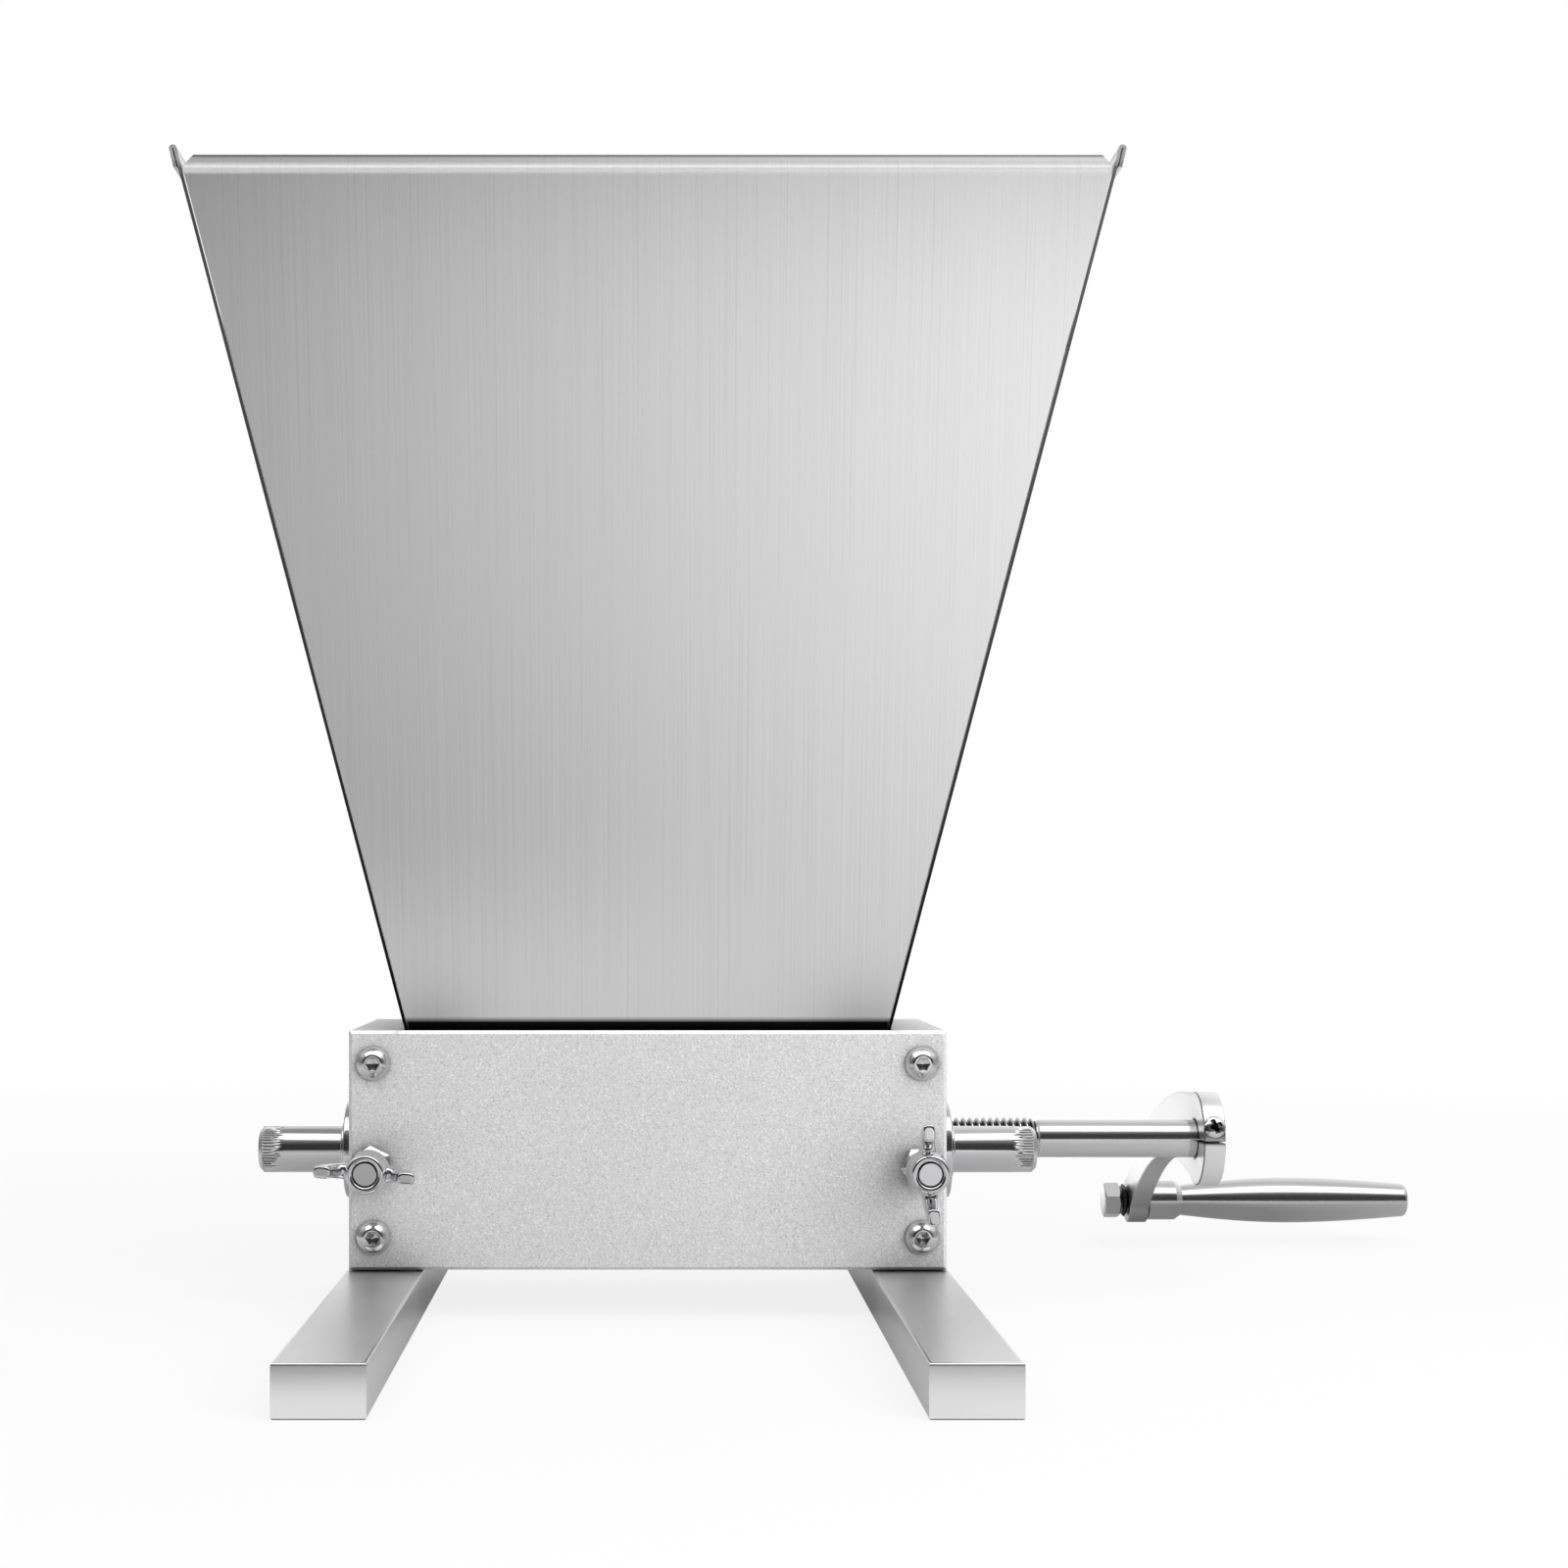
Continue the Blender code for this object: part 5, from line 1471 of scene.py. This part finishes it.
class MILL_OT_feet(bpy.types.Operator):
    """Makes the two bar feet with rounded edges and countersunk holes"""

    bl_idname = "mill.feet"
    bl_label = "Feet"

    def execute(self, context):
        edge = context.scene.mill_sizes.bar_edge
        shank, mouth, neck, recess, rim = 0.0033, 0.0058, 0.0035, 0.0007, 0.0001
        sink = mouth - shank
        for side, _ in SIDES:
            node = f"{side}_foot"
            low, high = corners(node)
            width, length, height = high - low
            place = middle(node)
            half = height / 2
            upper = [(0.0006, half), (0.0002, half), (0, half - 0.0002), (0, neck - half)]
            lower = [(sink, recess - half), (sink, rim - half), (sink + rim, -half)]
            walls = [(rectangle(width, length), rounded(half, edge, edge))]
            for face, *_ in FACES:
                spot = middle(f"foot_screw_{side}_{face}")
                walls.append((hole(shank, (spot - place)[:2]), np.array(upper + lower)))
            mesh = plate_mesh(node, walls, UPRIGHT, place)
            # Marks the front ends, which the bar finish paints lighter.
            bare_or_lit_faces(mesh, axis=1, low=-1.01, high=-0.95)
            stand_in(f"{side}_bar", mesh, "satin_bar", node)
        return {"FINISHED"}


# Pieces that keep their shape


class MILL_OT_inner_parts(bpy.types.Operator):
    """Gives the end plates, bearings and small inner parts their finishes"""

    bl_idname = "mill.inner_parts"
    bl_label = "Inner parts"

    def execute(self, context):
        refinish("hardened_steel", "grip_ring")
        refinish("polished_steel", "idler_shaft")
        for side, _ in SIDES:
            refinish("blasted_aluminium", f"{side}_end_plate")
            refinish("polished_steel", *[f"foot_screw_{side}_{face}" for face, *_ in FACES])
            bearings = ("drive_bush", "drive_washer", "idler_washer")
            refinish("bearing_bronze", *[f"{side}_{bearing}" for bearing in bearings])
        return {"FINISHED"}


# Studio


HALF_FLOOR = 6
CAMERA_PLACE = (MILL_X, -0.7265, 0.1065)
CAMERA_SHIFT = (0.0869, 0.0781)


def aimed_lamp(name, place, size, power):
    """A rectangular lamp that looks from its place at the middle of the mill."""
    lamp = bpy.data.lights.new(name, "AREA")
    lamp.shape = "RECTANGLE"
    lamp.size, lamp.size_y = size
    lamp.energy = power
    item = bpy.data.objects.new(name, lamp)
    bpy.context.scene.collection.objects.link(item)
    item.location = place
    look = Vector((MILL_X, 0, 0.1)) - Vector(place)
    item.rotation_euler = look.to_track_quat("-Z", "Y").to_euler()
    return item


def floor_material(colour):
    """A pale floor: white to the camera where nothing shades it, with the shadow kept.

    Metal sees it with painted light and shade: a painted shadow beside the mill and under the grip,
    painted light at the back, and in front a painted pool of light, brighter towards the right.
    """
    material = bpy.data.materials.new("mill_floor")
    base = cleared(material)
    where = place_in(base)
    tone = mixed(base, where.noise(3.0), scaled(colour, 0.98), colour)
    lit = base.node("ShaderNodeBsdfDiffuse", {"Color": tone})
    camera, glossy, through = (ray(base, kind) for kind in ("Camera", "Glossy", "Transmission"))
    # Painted light and shade for metal's reflections: darker near the mill and under the grip,
    # lighter at the back and towards the right in front.
    reach = distance(base, where, (MILL_X, 0, 0))
    # Painted shadow under the grip, where this distance is small.
    clear = distance(base, where, (MILL_X + 0.18, 0.115, 0)).clamped(0.02, 0.13)
    behind = where.part("Y").clamped(0.05, 0.35)
    slant = (where.part("X") - float(MILL_X)) / reach
    steep = abs(slant)
    side = (slant.clamped(-0.3, 0.3) - 0.5) * (1 - steep.clamped(0.35, 0.7))
    aside = steep.clamped(0.55, 0.85) * reach.clamped(0.35, 0.8)
    near = (0.46 + 0.54 * reach.clamped(0.06, 0.2)) * (1.15 - 0.15 * reach.clamped(0.23, 0.31))
    far = 0.69 + 0.10 * reach.clamped(0.35, 0.6) + 0.19 * reach.clamped(0.6, 1.7)
    far = far * (1 + 0.62 * behind) * (1 - 0.55 * aside)
    # Painted pool of light in front of the mill, brighter towards the right.
    painted_window_light = side * reach.clamped(0.22, 0.35) * (0.68 + 0.60 * reach.clamped(0.4, 1.7))
    tone = near * far * (1 + painted_window_light) * (0.34 + 0.66 * clear)
    strength = camera + glossy * tone + through
    white = base.node("ShaderNodeEmission", {"Color": (*grey(1), 1), "Strength": strength})
    seen = 0.60 + 0.35 * reach.clamped(0.1, 0.35)
    seen = seen + (0.9 - seen) * (1 - clear)
    share = camera * (0.84 + 0.16 * reach.clamped(0.25, 1.0)) + glossy * seen + through
    surface = base.node("ShaderNodeMixShader", {0: share, 1: lit, 2: white})
    base.node("ShaderNodeOutputMaterial", {"Surface": surface})
    return material


def studio_world():
    """White to the camera. Other rays see a room: pale behind and at the sides, dark in front."""
    world = bpy.data.worlds.new("mill_studio")
    bpy.context.scene.world = world
    base = cleared(world)
    way = place_in(base, "Generated")
    across, back, up = way.part("X"), way.part("Y").clamped(-0.62, -0.1), way.part("Z")
    rear = ((0.0, 1.0), (0.60, 1.0), (0.80, 0.85), (0.95, 0.63), (1.0, 0.80))
    front = ((0.0, 0.05), (0.45, 0.06), (0.62, 0.16), (0.74, 0.45), (1.0, 0.8))
    tones = [base.node("ShaderNodeValToRGB", {"Fac": up}, stops=stops) for stops in (front, rear)]
    high = up.clamped(0.68, 0.80)
    aside = abs(across).clamped(0.5, 0.85) * (1 - up.clamped(0.3, 0.6))
    low_strength = (0.78 + 0.40 * across.clamped(-0.5, 0.5)) * (1 - 0.6 * aside)
    high_strength = 0.60 + 0.58 * across.clamped(-0.13, 0.13)
    strength = low_strength * (1 - high) + high_strength * high
    room = {"Color": mixed(base, back, *tones), "Strength": strength}
    seen = base.node("ShaderNodeBackground", room)
    white = base.node("ShaderNodeBackground", {"Color": (*grey(1), 1), "Strength": 1.0})
    surface = base.node("ShaderNodeMixShader", {0: ray(base, "Camera"), 1: seen, 2: white})
    base.node("ShaderNodeOutputWorld", {"Surface": surface})


class MILL_OT_stage(bpy.types.Operator):
    """Makes the floor, the world, the lamps and the camera"""

    bl_idname = "mill.stage"
    bl_label = "Stage"

    def execute(self, context):
        look = context.scene.mill_studio
        span = np.linspace(-HALF_FLOOR, HALF_FLOOR, 3)
        x, y = np.meshgrid(span, span)
        points, faces = skin(np.stack([x, y, np.zeros_like(x)], axis=-1))
        mesh = bpy.data.meshes.new("floor")
        mesh.from_pydata(points.tolist(), [], faces.tolist())
        mesh.materials.append(floor_material(tuple(look.floor)))
        floor = bpy.data.objects.new("pale_floor", mesh)
        context.scene.collection.objects.link(floor)
        studio_world()
        aimed_lamp("top_lamp", (MILL_X, -0.44, 1.16), (2.4, 0.80), look.top_power)
        fill = aimed_lamp("fill_lamp", (0.8, -1.0, 0.25), (1.2, 1.2), look.fill_power)
        fill.visible_glossy = False
        camera = bpy.data.cameras.new("camera")
        camera.lens = look.lens
        camera.sensor_width = 36
        camera.shift_x, camera.shift_y = CAMERA_SHIFT
        camera.clip_start = 0.01
        item = bpy.data.objects.new("camera", camera)
        item.location = CAMERA_PLACE
        item.rotation_euler = (QUARTER_TURN, 0, 0)
        context.scene.collection.objects.link(item)
        context.scene.camera = item
        context.scene.view_settings.view_transform = "Standard"
        return {"FINISHED"}


PIECE_OPERATORS = (
    MILL_OT_inner_parts,
    MILL_OT_covers,
    MILL_OT_feet,
    MILL_OT_cover_screws,
    MILL_OT_lock_screws,
    MILL_OT_adjusters,
    MILL_OT_drive_shaft,
    MILL_OT_rollers,
    MILL_OT_hopper,
    MILL_OT_crank,
    MILL_OT_grip,
    MILL_OT_stage,
)
GROUPS = {"mill_sizes": MillSizes, "mill_colours": MillColours, "mill_studio": MillStudio}


class MILL_PT_panel(bpy.types.Panel):
    """Lists the mill's sizes, colours and pieces in the sidebar"""

    bl_idname = "MILL_PT_panel"
    bl_label = "Grain Mill"
    bl_space_type = "VIEW_3D"
    bl_region_type = "UI"
    bl_category = "Mill"

    def draw(self, context):
        for group in GROUPS:
            values = getattr(context.scene, group)
            for name in values.__annotations__:
                self.layout.prop(values, name)
        for operator in PIECE_OPERATORS:
            self.layout.operator(operator.bl_idname)


CLASSES = (*GROUPS.values(), *PIECE_OPERATORS, MILL_PT_panel)


def register():
    """Registers every class and gives the scene its three groups of settings."""
    for kind in CLASSES:
        bpy.utils.register_class(kind)
    for name, kind in GROUPS.items():
        setattr(bpy.types.Scene, name, PointerProperty(type=kind))


def unregister():
    """Takes the settings and the classes away again, last first."""
    for name in GROUPS:
        delattr(bpy.types.Scene, name)
    for kind in reversed(CLASSES):
        bpy.utils.unregister_class(kind)


def main():
    """Registers the classes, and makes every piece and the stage."""
    register()
    bpy.ops.mill.inner_parts()
    bpy.ops.mill.covers()
    bpy.ops.mill.feet()
    bpy.ops.mill.cover_screws()
    bpy.ops.mill.lock_screws()
    bpy.ops.mill.adjusters()
    bpy.ops.mill.drive_shaft()
    bpy.ops.mill.rollers()
    bpy.ops.mill.hopper()
    bpy.ops.mill.crank()
    bpy.ops.mill.grip()
    bpy.ops.mill.stage()


if __name__ == "__main__":
    main()
